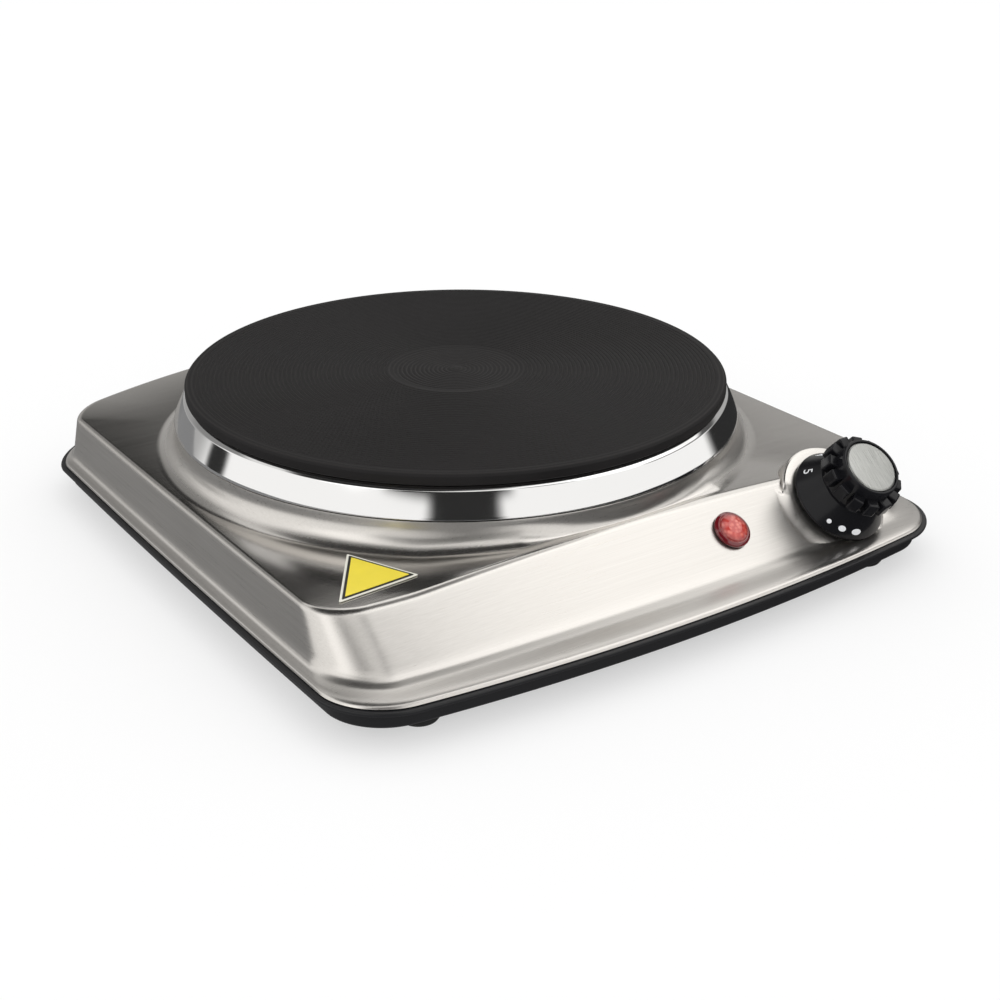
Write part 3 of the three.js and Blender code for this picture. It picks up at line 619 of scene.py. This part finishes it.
def red_lens():
    """Red plastic with small facets that carry painted glints, and painted shade that darkens it towards
    its rim.
    """
    n = Nodes("lens_red", (0.62, 0.035, 0.03), 0.12, 0.0, Coat_Weight=0.6, Coat_Roughness=0.05)
    # Mask of the rim, which is painted darker: painted shade at the lens's edge.
    rim = n.spread(n.vector("DISTANCE", n.coords, lamp_frame.translation * MM), 0, 1, 4.2 * MM, 5.6 * MM)
    cells = n.add("ShaderNodeTexVoronoi")
    n.feed(cells.inputs["Vector"], n.coords)
    cells.inputs["Scale"].default_value = 700
    facet = n.spread(cells.outputs["Distance"], 0, 1, 0.1, 0.6)
    # Each facet is painted lighter at its middle and darker at its edges: painted glints.
    facet_glints = n.mix(facet, (0.78, 0.20, 0.15), (0.50, 0.05, 0.04))
    n.to("Base Color", n.mix(rim, facet_glints, (0.14, 0.005, 0.010)))
    n.to("Roughness", n.spread(n.noise(300, 2), 0.08, 0.18))
    n.bump(cells.outputs["Distance"], 0.25, 0.15)
    return n.mat


def simple(name, color, roughness, metallic=0.0, grain=300, depth=0.1, swing=0.12, **constants):
    """Plain material with its own mottling, roughness variation and fine grain."""
    n = Nodes(name, color, roughness, metallic, **constants)
    patch = n.noise(grain / 8, 3)
    low, high = [c * (1 - swing) for c in color], [min(1, c * (1 + swing)) for c in color]
    n.to("Base Color", n.mix(n.spread(patch, 0, 1, 0.3, 0.7), low, high))
    smoothest, roughest = max(0.03, roughness - 0.08), min(1, roughness + 0.08)
    n.to("Roughness", n.spread(n.noise(grain / 3, 3), smoothest, roughest))
    n.bump(n.noise(grain, 3), depth, 0.06)
    return n.mat


STEEL = brushed_steel()
CHROME = chrome()
IRON = plate_iron()
PAN_BLACK = black_paint()
KNOB_BLACK = knob_plastic()
SPUN = spun_metal()
LENS = red_lens()
RUBBER = simple("foot_rubber", (0.012, 0.012, 0.012), 0.75, grain=900, depth=0.3)
MARKING = simple("knob_marking", (0.82, 0.83, 0.85), 0.5, grain=600, depth=0.05)
YELLOW = simple("label_yellow", (0.86, 0.70, 0.045), 0.45, grain=700, depth=0.05, swing=0.04)
LABEL_WHITE = simple("label_white", (0.80, 0.79, 0.70), 0.5, grain=700, depth=0.05, swing=0.04)
LABEL_BLACK = simple("label_black", (0.012, 0.012, 0.010), 0.5, grain=700, depth=0.05)
ZINC = simple("zinc_plate", (0.56, 0.56, 0.53), 0.38, 1.0, grain=500)
BRASS = simple("brass", (0.62, 0.44, 0.17), 0.32, 1.0, grain=500)
CERAMIC = simple("ceramic", (0.72, 0.69, 0.6), 0.6, grain=1200, depth=0.3)
SLEEVE = simple("wire_sleeve", (0.02, 0.02, 0.02), 0.6, grain=900)
HEATER = simple("heater_sheath", (0.18, 0.17, 0.16), 0.5, 0.9, grain=900)
GLASS = simple("lamp_glass", (0.9, 0.75, 0.6), 0.08, grain=200, depth=0.02, Transmission_Weight=0.8)

# ---- CAD nodes that stay ----
# Looks by the beginning of a node's name; the first that fits is taken.
LOOKS = {
    ZINC: ("clamp_bridge", "bridge_washer", "stud_nut", "shield_nut", "heat_shield", "plate_cover",
           "plate_stud", "coil_lead", "housing_post", "foot_screw", "pan_screw", "bushing_nut",
           "thermostat_frame", "thermostat_spindle", "indicator_clip"),
    BRASS: ("terminal_screw", "earth_screw", "thermostat_bushing", "contact_leaf", "fixed_leaf"),
    CERAMIC: ("coil_insulation", "terminal_block", "thermal_cutout", "thermostat_stack", "push_pin"),
    SLEEVE: ("wire_",),
    HEATER: ("heating_coil",),
    GLASS: ("indicator_lamp",),
    RUBBER: ("foot_", "cord_bushing"),
}
for name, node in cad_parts.items():
    chosen = next((m for m, starts in LOOKS.items() if name.startswith(starts)), None)
    if chosen and node.material_slots:
        for place in node.material_slots:
            place.material = chosen
    elif chosen:
        node.data.materials.append(chosen)

# ---- housing ----
# The inside of the sheet uses fewer rows, and its ends are level with the lip and the collar.
LINING_ROWS = (0, 3, 4, 6, 7, 9, 10, 12, 14, 15, 16)
lining_rows = inward(coarse, SHEET)
lining = [[tuple(p) for p in lining_rows[r]] for r in LINING_ROWS]
lining[0] = [(x, y, LIP_Z) for x, y, _ in lining[0]]
lining[-1] = [(x, y, COLLAR_Z - SHEET) for x, y, _ in coarse[-1]]
shell = fine + lining[::-1]
housing = mesh_object("housing", [p for row in shell for p in row], skin_faces(len(shell), len(shell[0])))

BOSS_SPREAD, BOSS_SEAT, BOSS_DEPTH, BRIM_TOP = 2.2, KNOB_R + 0.3, 8.5, LIP_Z + 1.2
RAMP_LOW, RAMP_HIGH, BOSS_CORE_R, BOSS_ROOT = -0.12, 0.5, 12, -2.2
# The seat turns into a wall between these sines of the angle above, and these cosines beside.
WALL_ABOVE, WALL_BESIDE, BESIDE_INSET = (0.42, 0.58), (0.2, 0.6), 1.8


def part_way(value, low, high):
    """0 below low, 1 above high, eased in between."""
    return eased(min(max((value - low) / (high - low), 0.0), 1.0))


def boss_piece(columns=160, steps=16):
    """Raised seat of the knob: it swells out of the panel, and stands as a wall past the panel's edges."""
    rows = []
    for k in range(-1, steps + 2):
        t = min(max(k, 0) / steps, 1)
        row = []
        for i in range(columns):
            a = 2 * math.pi * i / columns
            over, beside = part_way(math.sin(a), *WALL_ABOVE), part_way(math.cos(a), *WALL_BESIDE)
            wall = max(over, beside)
            side = BOSS_R - BESIDE_INSET * beside * (1 - over)
            turn = math.pi * max(t - 0.5, 0)
            wall_r = side - 1 + math.cos(turn) if t < 1 else BOSS_SEAT
            wall_z = BOSS_H - 1 + math.sin(turn) - (BOSS_DEPTH + BOSS_H) * max(1 - 2 * t, 0)
            ramp_r = BOSS_R + BOSS_SPREAD + (BOSS_SEAT - BOSS_R - BOSS_SPREAD) * t
            ramp_z = RAMP_LOW + (RAMP_HIGH - RAMP_LOW) * eased(t)
            if k > steps:
                wall_r, wall_z, ramp_r, ramp_z = BOSS_CORE_R, BOSS_H, BOSS_CORE_R, BOSS_H
            if k < 0:
                wall_r, wall_z, ramp_r, ramp_z = side - 1, wall_z - 0.2, BOSS_R, BOSS_ROOT
            r, z = wall_r * wall + ramp_r * (1 - wall), wall_z * wall + ramp_z * (1 - wall)
            row.append((r * math.cos(a), r * math.sin(a), z))
        rows.append(row)
    return capped("boss", rows, place=knob_frame)


def block(low, high):
    """Box between two opposite corners."""
    corners = (low[0], low[1]), (high[0], low[1]), (high[0], high[1]), (low[0], high[1])
    return capped("block", [[(x, y, z) for x, y in corners] for z in (low[2], high[2])])


boss = boss_piece()
boolean(boss, block((-HALF, -DEPTH, -20), (HALF + 20, 0, BRIM_TOP)), "DIFFERENCE")
boolean(housing, boss, "UNION")
# The boss is hollow behind. Both bushings and the lens go through the sheet.
BOSS_BACK, HOLLOW_DEPTH = -1.2, -14
SPINDLE_HOLE_R, LAMP_HOLE_R, INLET_HOLE_R = 5.2, 5.4, 5.2
hollow_profile = [(0, BOSS_H - SHEET), (11, BOSS_H - SHEET), (14, BOSS_BACK), (BOSS_R - 1, BOSS_BACK),
                  (BOSS_R - 1, HOLLOW_DEPTH), (0, HOLLOW_DEPTH)]
boolean(housing, turned("hollow", hollow_profile, 96, place=knob_frame), "DIFFERENCE")
drill(housing, SPINDLE_HOLE_R, 6, -3, knob_frame)
drill(housing, LAMP_HOLE_R, 5, -5, lamp_frame)
drill(housing, INLET_HOLE_R, 6, -6, inlet_frame())
smooth(housing, CUT_SHARP)
dress(housing, STEEL, "top_housing")


# ---- base pan ----
PAN_SHEET, RIM_THICK = 1.0, 1.2


def pan():
    """Shallow tray with a rolled rim, from a section of (inset, height, radius) carried round the base."""
    under, inside = PAN_RIM - RIM_THICK, PAN_BOTTOM + PAN_SHEET
    sections = rounded([(6.2, PAN_BOTTOM, 0), (PAN_INSET, PAN_BOTTOM, 1.3), (PAN_INSET - 0.5, under, 0.5),
                        (0.15, under, 0.35), (0, PAN_RIM - 0.55, 0.25), (0.15, PAN_RIM, 0.35),
                        (PAN_INSET + 0.6, PAN_RIM, 0.3), (PAN_INSET + 1.2, inside, 0.9),
                        (6.4, inside, 0)], 5)
    return capped("pan", [[(x, y, z) for x, y, _ in base_outline(inset)] for inset, z in sections])


SLOT_X, SLOT_ROWS, SLOT_HALF, SLOT_R, SLOT_POINTS = (-45, 45), (-62, -50, -38), 20.3, 1.7, 24


def vent_slots():
    """Bars with round ends, where the pan's floor is cut open."""
    points, faces = [], []
    for x, y in [(x, y) for y in SLOT_ROWS for x in SLOT_X]:
        start = len(points)
        for z in (PAN_BOTTOM - 2, PAN_BOTTOM + 3):
            for k in range(SLOT_POINTS):
                a = 2 * math.pi * (k + 0.5) / SLOT_POINTS - math.pi / 2
                end = math.copysign(SLOT_HALF, math.cos(a))
                points.append((x + end + SLOT_R * math.cos(a), y + SLOT_R * math.sin(a), z))
        low, high = list(range(start, start + SLOT_POINTS)), list(range(start + SLOT_POINTS, len(points)))
        faces += [tuple(reversed(low)), tuple(high)]
        faces += [(low[i - 1], low[i], high[i], high[i - 1]) for i in range(SLOT_POINTS)]
    return mesh_object("slots", points, faces)


base = pan()
boolean(base, vent_slots(), "DIFFERENCE")
SCREW_HOLE_R = 2.2
for side in (-1, 1):
    for x, ys in ((FOOT_X, FOOT_Y), (POST_X, POST_Y)):
        for y in ys:
            drill(base, SCREW_HOLE_R, 0, 10, Matrix.Translation((side * x, y, 0)), 24)
smooth(base, CUT_SHARP)
dress(base, PAN_BLACK, "base_pan")

# ---- cooking plate and ring ----
RIM_Z, RECESS_Z = PLATE_TOP - PLATE_RIM, PLATE_TOP - RECESS
MIDDLE_GROOVES, OUTER_GROOVES = (3.0, 20.5), (24.4, 88.6)
SPIGOT_R, SPIGOT_Z, CAVITY_Z = 88.2, 39.8, 46.2
top = [(0, RECESS_Z)]
r, last = MIDDLE_GROOVES
while r < last:
    top += [(r, RECESS_Z), (r + GROOVE_WIDTH / 2, RECESS_Z - GROOVE_DEPTH / 2),
            (r + GROOVE_WIDTH, RECESS_Z)]
    r += GROOVE_PITCH
top += rounded([(21.4, RECESS_Z, 0), (22.0, RECESS_Z, 0.4), (23.9, PLATE_TOP, 0.4),
                (24.3, PLATE_TOP, 0)], 3)
r, last = OUTER_GROOVES
while r < last:
    top += [(r, PLATE_TOP), (r + GROOVE_WIDTH * 0.35, PLATE_TOP - GROOVE_DEPTH),
            (r + GROOVE_WIDTH * 0.65, PLATE_TOP - GROOVE_DEPTH), (r + GROOVE_WIDTH, PLATE_TOP)]
    r += GROOVE_PITCH
side = rounded([(r, PLATE_TOP, 0), (PLATE_R - 0.9, PLATE_TOP, 0.5), (PLATE_R, PLATE_TOP - 0.9, 0.5),
                (PLATE_R, RIM_Z + 0.6, 0.4), (PLATE_R - 0.8, RIM_Z, 0.4), (SPIGOT_R, RIM_Z, 0.3),
                (SPIGOT_R, SPIGOT_Z, 0.5), (80, SPIGOT_Z, 0.5), (80, CAVITY_Z, 0)], 4)
hub = [(14, CAVITY_Z), (14, 40), (3.3, 40), (3.3, 45), (0, 45)]
plate = turned("plate", top + side + hub, 240, 24, place=plate_frame)
dress(plate, IRON, "cooking_plate")

RING_TOP, RING_FOOT, RING_INNER_R = RIM_Z - 0.2, COLLAR_Z + 0.3, 89.6
ring_profile = rounded([(COLLAR_R - 0.7, RING_FOOT, 0), (COLLAR_R + 0.15, RING_FOOT, 0.15),
                        (COLLAR_R - 0.1, COLLAR_Z + 1.2, 0.4), (93.3, RING_TOP - 1.0, 1.1),
                        (91.6, RING_TOP, 0.9), (RING_INNER_R, RING_TOP, 0.1),
                        (RING_INNER_R, RING_TOP - 0.8, 0.1), (91.4, RING_TOP - 0.8, 0.5),
                        (92.4, RING_TOP - 1.3, 0.6), (COLLAR_R - 0.8, COLLAR_Z + 1.2, 0.2),
                        (COLLAR_R - 0.7, RING_FOOT, 0)], 5)
dress(turned("ring", ring_profile, 256, 40, place=plate_frame), CHROME, "spill_ring")

# ---- knob ----
# The skirt's slope as (radius, height) at its lip and at the hub, and its bore for the spindle.
CONE_LOW, CONE_HIGH = (KNOB_R, KNOB_BASE + 1.1), (11.6, 11.0)
SKIRT = math.hypot(CONE_LOW[0] - CONE_HIGH[0], CONE_LOW[1] - CONE_HIGH[1])
BORE_R, BORE_TOP = 3.3, 17.3
MARK_LIFT, MARK_DEPTH = 0.05, 0.15


def cone_radius(share):
    return CONE_LOW[0] + (CONE_HIGH[0] - CONE_LOW[0]) * share


def on_cone(angle, share, lift):
    """Point in the knob's own frame on its skirt: share 0 at the lip and 1 at the hub."""
    rise, run = CONE_HIGH[1] - CONE_LOW[1], CONE_LOW[0] - CONE_HIGH[0]
    slope = Vector((rise, run)).normalized() * lift
    r, z = cone_radius(share) + slope.x, CONE_LOW[1] + rise * share + slope.y
    return Vector((r * math.cos(angle), r * math.sin(angle), z))


knob_profile = rounded([(0, BORE_TOP, 0), (BORE_R, BORE_TOP, 0), (BORE_R, 7.6, 0), (9.5, 7.6, 0.5),
                        (14.6, KNOB_BASE, 0.3), (KNOB_R, KNOB_BASE, 0.35), (*CONE_LOW, 0.35),
                        (*CONE_HIGH, 0.8), (10.9, 11.6, 0.5), (10.6, 16.6, 0.6),
                        (10.25, KNOB_TOP - 0.5, 0.3), (9.95, KNOB_TOP, 0.25), (9.3, KNOB_TOP, 0.15),
                        (9.2, KNOB_TOP - 0.7, 0.1), (0, KNOB_TOP - 0.7, 0)], 5)
knob = turned("knob", knob_profile, 160, 34)
# The grips: how many, the size of each, where its middle is, its lean inwards and its rounding.
GRIPS, GRIP, GRIP_AT, GRIP_LEAN, GRIP_ROUND = 14, (3.6, 3.9, 5.0), (11.8, 0, 15.8), math.radians(-6), 0.6
bm = bmesh.new()
for i in range(GRIPS):
    turn = Matrix.Rotation((i + 0.5) * 2 * math.pi / GRIPS, 4, "Z")
    lean = Matrix.Rotation(GRIP_LEAN, 4, "Y")
    out = Matrix.Translation(Vector(GRIP_AT) * MM)
    size = Matrix.Diagonal((*(Vector(GRIP) * MM), 1))
    bmesh.ops.create_cube(bm, size=1.0, matrix=turn @ out @ lean @ size)
bmesh.ops.bevel(bm, geom=list(bm.edges), offset=GRIP_ROUND * MM, segments=4, profile=0.6, affect="EDGES")
data = bpy.data.meshes.new("grips")
bm.to_mesh(data)
bm.free()
boolean(knob, placed("grips", data), "UNION")
knob.data.transform(Matrix.Scale(MM, 4) @ knob_frame @ Matrix.Scale(1 / MM, 4))
smooth(knob, 34)
dress(knob, KNOB_BLACK, "control_knob", "knob")

CAP_R, CAP_UNDER = 8.95, KNOB_TOP - 0.45
cap_profile = rounded([(0, KNOB_TOP + 0.12, 0), (8.4, KNOB_TOP + 0.05, 0.4), (CAP_R, KNOB_TOP - 0.3, 0.2),
                       (CAP_R, CAP_UNDER, 0), (0, CAP_UNDER, 0)], 5)
dress(turned("cap", cap_profile, 128, 40, place=knob_frame), SPUN, "knob_cap", "knob")


def dot(name, angle, share, wide, tall):
    """Thin printed oval on the skirt."""
    r = cone_radius(share)
    loop = [(angle + wide / 2 / r * math.cos(t), share + tall / 2 / SKIRT * math.sin(t))
            for t in np.linspace(0, 2 * math.pi, DOT_POINTS, endpoint=False)]
    rows = [[on_cone(a, s, lift) for a, s in loop] for lift in (MARK_LIFT, -MARK_DEPTH)]
    dress(capped(name, rows, 40, knob_frame), MARKING, None, "knob")


# Angle in degrees, width and height of each dot; all lie at the same share of the skirt.
DOTS, DOT_SHARE, DOT_POINTS = ((-151, 1.6, 1.5), (-132, 2.6, 2.0), (-111.5, 3.4, 2.2)), 0.3, 28
for i, (angle, wide, tall) in enumerate(DOTS):
    dot(f"dial_dot_{i + 1}", math.radians(angle), DOT_SHARE, wide, tall)


def digit(text, angle, share, height):
    """A dial number wrapped onto the skirt, its top towards the hub."""
    curve = bpy.data.curves.new("digit", "FONT")
    curve.body = text
    curve.align_x = "CENTER"
    curve.align_y = "CENTER"
    curve.resolution_u = 6
    curve.extrude = 0.04
    obj = placed("digit", curve)
    flat = evaluated_mesh(obj)
    bpy.data.objects.remove(obj, do_unlink=True)
    r = cone_radius(share)
    for v in flat.vertices:
        lift = MARK_LIFT if v.co.z > 0 else -MARK_DEPTH
        at = on_cone(angle + v.co.x * height / r, share + v.co.y * height / SKIRT, lift)
        v.co = (knob_frame @ at) * MM
    dress(placed(f"dial_number_{text}", flat), MARKING, None, "knob")


FIRST_DIGIT, DIGIT_STEP, DIGIT_SHARE, DIGIT_HEIGHT = 133, 40, 0.42, 4.6
for i, text in enumerate("54321"):
    digit(text, math.radians(FIRST_DIGIT - DIGIT_STEP * i), DIGIT_SHARE, DIGIT_HEIGHT)

# ---- indicator lens ----
SLEEVE_R, SLEEVE_IN_R, SLEEVE_END, FLANGE_Z = 5, 3.8, -6, 0.35
lens_profile = rounded([(SLEEVE_IN_R, SLEEVE_END, 0), (SLEEVE_R, SLEEVE_END, 0.2), (SLEEVE_R, FLANGE_Z, 0),
                        (LENS_R, FLANGE_Z, 0.2), (LENS_R, 1.2, 0.5), (5.3, 1.8, 0.3), (4.9, 1.7, 0.1),
                        (4.6, 2.2, 0.3), (2.4, 2.9, 0.8), (0, 3.0, 0)], 5)
lens = turned("lens", [(0, 1.0), (SLEEVE_IN_R, 1.0)] + lens_profile, 96, place=lamp_frame)
dress(lens, LENS, "indicator_lens")


# ---- feet ----
SCREW_R, HEAD_R, HEAD_SEAT = 2.3, 3.7, 2.2


def foot(name, x, y):
    """Rubber foot with a bore for its screw and a seat for the screw's head."""
    top_z = PAN_BOTTOM - 0.3
    profile = rounded([(SCREW_R, HEAD_SEAT, 0), (HEAD_R, HEAD_SEAT, 0.2), (HEAD_R, 0, 0.3),
                       (FOOT_R - 0.8, 0, 0.5), (FOOT_R, 1.2, 0.7), (FOOT_R, top_z, 0.3),
                       (SCREW_R, top_z, 0), (SCREW_R, HEAD_SEAT, 0)], 4)
    piece = turned(name.replace("foot", "rubber_foot"), profile, 64, place=Matrix.Translation((x, y, 0)))
    dress(piece, RUBBER, name)


for side, x in (("left", -FOOT_X), ("right", FOOT_X)):
    for end, y in zip(("front", "rear"), FOOT_Y):
        foot(f"foot_{end}_{side}", x, y)


# ---- heat sticker: white edge, black line, yellow middle, each lying a hair above the last ----
CORNERS = ((-81.3, -62.2), (-98.0, -87.4), (-71.0, -85.6))
STICKER_RINGS, EDGE_POINTS = 14, 14


def triangle(shrink, radius):
    """The sticker's centre, and its outline drawn in by shrink millimetres, with rounded corners."""
    c = [Vector(p) for p in CORNERS]
    lengths = [(c[(i + 1) % 3] - c[(i + 2) % 3]).length for i in range(3)]
    centre = sum((p * w for p, w in zip(c, lengths)), Vector((0, 0))) / sum(lengths)
    area = abs((c[1] - c[0]).cross(c[2] - c[0])) / 2
    inner_radius = 2 * area / sum(lengths)
    k = 1 - shrink / inner_radius
    small = [centre + (p - centre) * k for p in c]
    loop = []
    for i in range(3):
        p, a, b = small[i], small[i - 1], small[(i + 1) % 3]
        s, e = p + (a - p).normalized() * radius, p + (b - p).normalized() * radius
        loop += [s * (1 - t) ** 2 + p * 2 * t * (1 - t) + e * t * t for t in (0, 0.25, 0.5, 0.75, 1)]
        n = b + (p - b).normalized() * radius
        loop += [e.lerp(n, t) for t in np.linspace(0, 1, EDGE_POINTS)[1:-1]]
    return centre, loop


def sticker(name, shrink, low, high, radius):
    """Sheet between the heights low and high above the housing's top, which it follows."""
    centre, loop = triangle(shrink, radius)
    rings = STICKER_RINGS
    flat = [centre.lerp(p, k / rings) for k in range(1, rings + 1) for p in loop]
    plan = flat + flat[::-1]
    lifts = [high] * len(flat) + [low] * len(flat)
    n = len(loop)
    points = [(q.x, q.y, top_height(q.x, q.y) + lift) for q, lift in zip(plan, lifts)]
    points += [(centre.x, centre.y, top_height(centre.x, centre.y) + lift) for lift in (high, low)]
    faces = skin_faces(rings, n, close_rows=False)
    faces += [tuple(2 * len(flat) - 1 - i for i in face) for face in reversed(faces)]
    faces += [(len(points) - 2, i, (i + 1) % n) for i in range(n)]
    faces += [(len(points) - 1, len(plan) - 1 - (i + 1) % n, len(plan) - 1 - i) for i in range(n)]
    edge = (rings - 1) * n
    faces += [(edge + i, edge + (i + 1) % n, len(plan) - 1 - edge - (i + 1) % n, len(plan) - 1 - edge - i)
              for i in range(n)]
    return mesh_object(name, points, faces, 30)


dress(sticker("label_edge", 0.0, 0.2, 0.42, 0.7), LABEL_WHITE, "heat_sticker")
dress(sticker("label_line", 0.7, 0.4, 0.54, 0.5), LABEL_BLACK)
dress(sticker("label_face", 1.5, 0.52, 0.66, 0.4), YELLOW)

# ---- floor, light and camera ----
# Levels of light: the room that mirrors see, the white light on matt surfaces, the floor's own, and dark.
ROOM, DAYLIGHT, FLOOR_GLOW, DARK = 1.2, 1.1, 0.54, 0.03
# What mirrors see behind the object: (height, level) stops, where height 0 is level and 1 is straight up.
BACKDROP = ((0.0, 0.5), (0.26, 0.5), (0.32, 0.3), (0.38, DARK), (0.66, DARK), (0.7, 0.9), (0.78, 0.9),
            (0.84, 0.05))
BACKDROP_MIDDLE = ((0.0, 0.5), (0.26, 0.5), (0.32, 0.3), (0.38, DARK), (0.50, DARK), (0.55, 1.3),
                   (0.76, 1.3), (0.82, 0.1))
BACKDROP_RIGHT = ((0.0, 0.45), (0.3, 0.5), (0.37, 0.5), (0.43, 0.1), (0.5, 0.1), (0.54, 1.4), (0.84, 1.4),
                  (0.9, 0.2))
BACKDROP_LEFT = ((0.0, 0.5), (0.3, 0.4), (0.4, 0.3), (0.64, 0.3), (0.7, 0.9), (0.78, 0.9), (0.84, 0.1))
# Round patches: direction, degrees from it where the patch begins to fade and where it ends, level.
PATCHES = (((0.12, 0.30, 0.946), 17, 22, 0.05),
           ((0.66, -0.28, 0.69), 19, 26, 1.8),
           ((-0.74, -0.14, 0.66), 11, 16, 1.8),
           ((-0.3, 0.02, 0.954), 10, 14, DARK),
           ((-0.25, 0.2, 0.947), 16, 22, DARK),
           ((0.215, -0.405, 0.888), 7, 10.5, 0.0),
           ((-0.64, 0.76, 0.12), 4, 8, DARK),
           ((0.98, 0.17, 0.0), 11, 19, DARK))
# Upright dark bands: compass direction, degrees as above, heights where they fade in and fade out.
DARK_BANDS = (((-0.5, -0.866, 0), 11, 17, -0.2, -0.1, 0.55, 0.62),
              ((-0.6, -0.8, 0), 24, 30, 0.46, 0.52, 0.84, 0.89),
              ((0.95, -0.31, 0), 16, 24, 0.3, 0.36, 0.5, 0.58))
scene = bpy.context.scene
scene.view_settings.view_transform = "Standard"
scene.view_settings.look = "None"

FAR = 6000
corners = [(-FAR, -FAR, 0), (FAR, -FAR, 0), (FAR, FAR, 0), (-FAR, FAR, 0)]
floor = mesh_object("floor", corners, [(0, 1, 2, 3)])
pale = Nodes("pale_floor", (0.42, 0.42, 0.42), 0.9, Specular_IOR_Level=0.0,
             Emission_Color=(1, 1, 1, 1), Emission_Strength=FLOOR_GLOW)
# Mirrors see a dim floor, dimmer to the right.
dim = pale.add("ShaderNodeEmission")
pale.feed(dim.inputs["Strength"], pale.spread(pale.separated(pale.coords)[0], 0.27, 0.03, -0.1, 0.13))
pale.by_ray(dim.outputs[0], pale.bsdf.outputs[0], pale.tree.nodes["Material Output"])
floor.data.materials.append(pale.mat)


class Studio(Tree):
    """The light that mirrors see from each direction, built up in level by laying masks over it."""

    def __init__(self, tree):
        super().__init__(tree)
        tree.nodes.clear()
        self.level = ROOM
        self.aim = self.add("ShaderNodeTexCoord").outputs["Generated"]
        self.height = self.separated(self.aim)[2]
        self.compass = self.vector("NORMALIZE", self.vector("MULTIPLY", self.aim, (1, 1, 0)), (0, 0, 0))

    def cone(self, aim, direction, inner, outer):
        """1 where aim is within inner degrees of direction, 0 past outer."""
        closeness = self.vector("DOT_PRODUCT", aim, Vector(direction).normalized())
        return self.between(closeness, math.cos(math.radians(outer)), math.cos(math.radians(inner)))

    def between(self, value, low, high):
        """0 up to low, 1 from high, smooth in between."""
        node = self.add("ShaderNodeMapRange", interpolation_type="SMOOTHSTEP")
        for key, v in (("Value", value), ("From Min", low), ("From Max", high)):
            self.feed(node.inputs[key], v)
        return node.outputs["Result"]

    def by_height(self, stops):
        """Level by the height of the direction, from (height, level) stops."""
        ramp = self.add("ShaderNodeValToRGB")
        ramp.color_ramp.interpolation = "EASE"
        for k, (at, value) in enumerate(stops):
            stop = ramp.color_ramp.elements[k] if k < 2 else ramp.color_ramp.elements.new(at)
            stop.position, stop.color = at, (value, value, value, 1)
        self.feed(ramp.inputs[0], self.height)
        return ramp.outputs[0]

    def put(self, mask, value):
        """Sets the level inside mask to value."""
        self.level = self.blend(mask, self.level, value)

    def background(self, color, strength):
        node = self.add("ShaderNodeBackground")
        node.inputs["Color"].default_value = color
        self.feed(node.inputs["Strength"], strength)
        return node.outputs[0]


scene.world = bpy.data.worlds.new("studio")
scene.world.use_nodes = True
studio = Studio(scene.world.node_tree)
behind = studio.cone(studio.compass, (0.46, 0.89, 0), 46, 66)
studio.put(behind, studio.by_height(BACKDROP))
for stops, direction, inner, outer in ((BACKDROP_MIDDLE, (0.88, 0.47, 0), 33, 40),
                                       (BACKDROP_RIGHT, (0.88, 0.47, 0), 18, 26),
                                       (BACKDROP_LEFT, (-0.34, 0.94, 0), 22, 32)):
    side = studio.cone(studio.compass, direction, inner, outer)
    studio.put(studio.math("MULTIPLY", behind, side), studio.by_height(stops))
for direction, inner, outer, value in PATCHES:
    studio.put(studio.cone(studio.aim, direction, inner, outer), value)
for direction, inner, outer, low, low_full, high_full, high in DARK_BANDS:
    begun = studio.between(studio.height, low, low_full)
    over = studio.between(studio.height, high_full, high)
    band = studio.cone(studio.compass, direction, inner, outer)
    studio.put(studio.math("MULTIPLY", band, studio.math("SUBTRACT", begun, over)), DARK)
room = studio.background((1, 0.99, 0.97, 1), studio.level)
daylight = studio.background((1, 1, 1, 1), DAYLIGHT)
studio.by_ray(room, daylight, studio.add("ShaderNodeOutputWorld"))

# A soft square light, with its side and place in metres. Its brightness doesn't change with its side.
KEY_SIDE, KEY_LEVEL, KEY_AT = 0.9, 0.25, Vector((0.6, -0.5, 1.7))
key_data = bpy.data.lights.new("key", "AREA")
key_data.shape = "RECTANGLE"
key_data.size, key_data.size_y = KEY_SIDE, KEY_SIDE
key_data.energy = KEY_LEVEL * KEY_SIDE * KEY_SIDE * math.pi
key = placed("key", key_data)
key.location = KEY_AT
key.rotation_euler = (-KEY_AT).to_track_quat("-Z", "Y").to_euler()
key.visible_camera = False
key.visible_shadow = False

# The camera's place in millimetres, and in radians its angle from +Y towards +X and its tilt down.
CAMERA_AT, YAW, PITCH, FOCAL_LENGTH = Vector((-283.95, -439.61, 240.13)), 0.598, 0.426, 58.184
camera_data = bpy.data.cameras.new("camera")
camera_data.lens = FOCAL_LENGTH
camera_data.sensor_width = 36.0
camera_data.clip_start = 0.01
camera = placed("camera", camera_data)
aim = Vector((math.sin(YAW) * math.cos(PITCH), math.cos(YAW) * math.cos(PITCH), -math.sin(PITCH)))
camera.location = CAMERA_AT * MM
camera.rotation_euler = aim.to_track_quat("-Z", "Y").to_euler()
scene.camera = camera
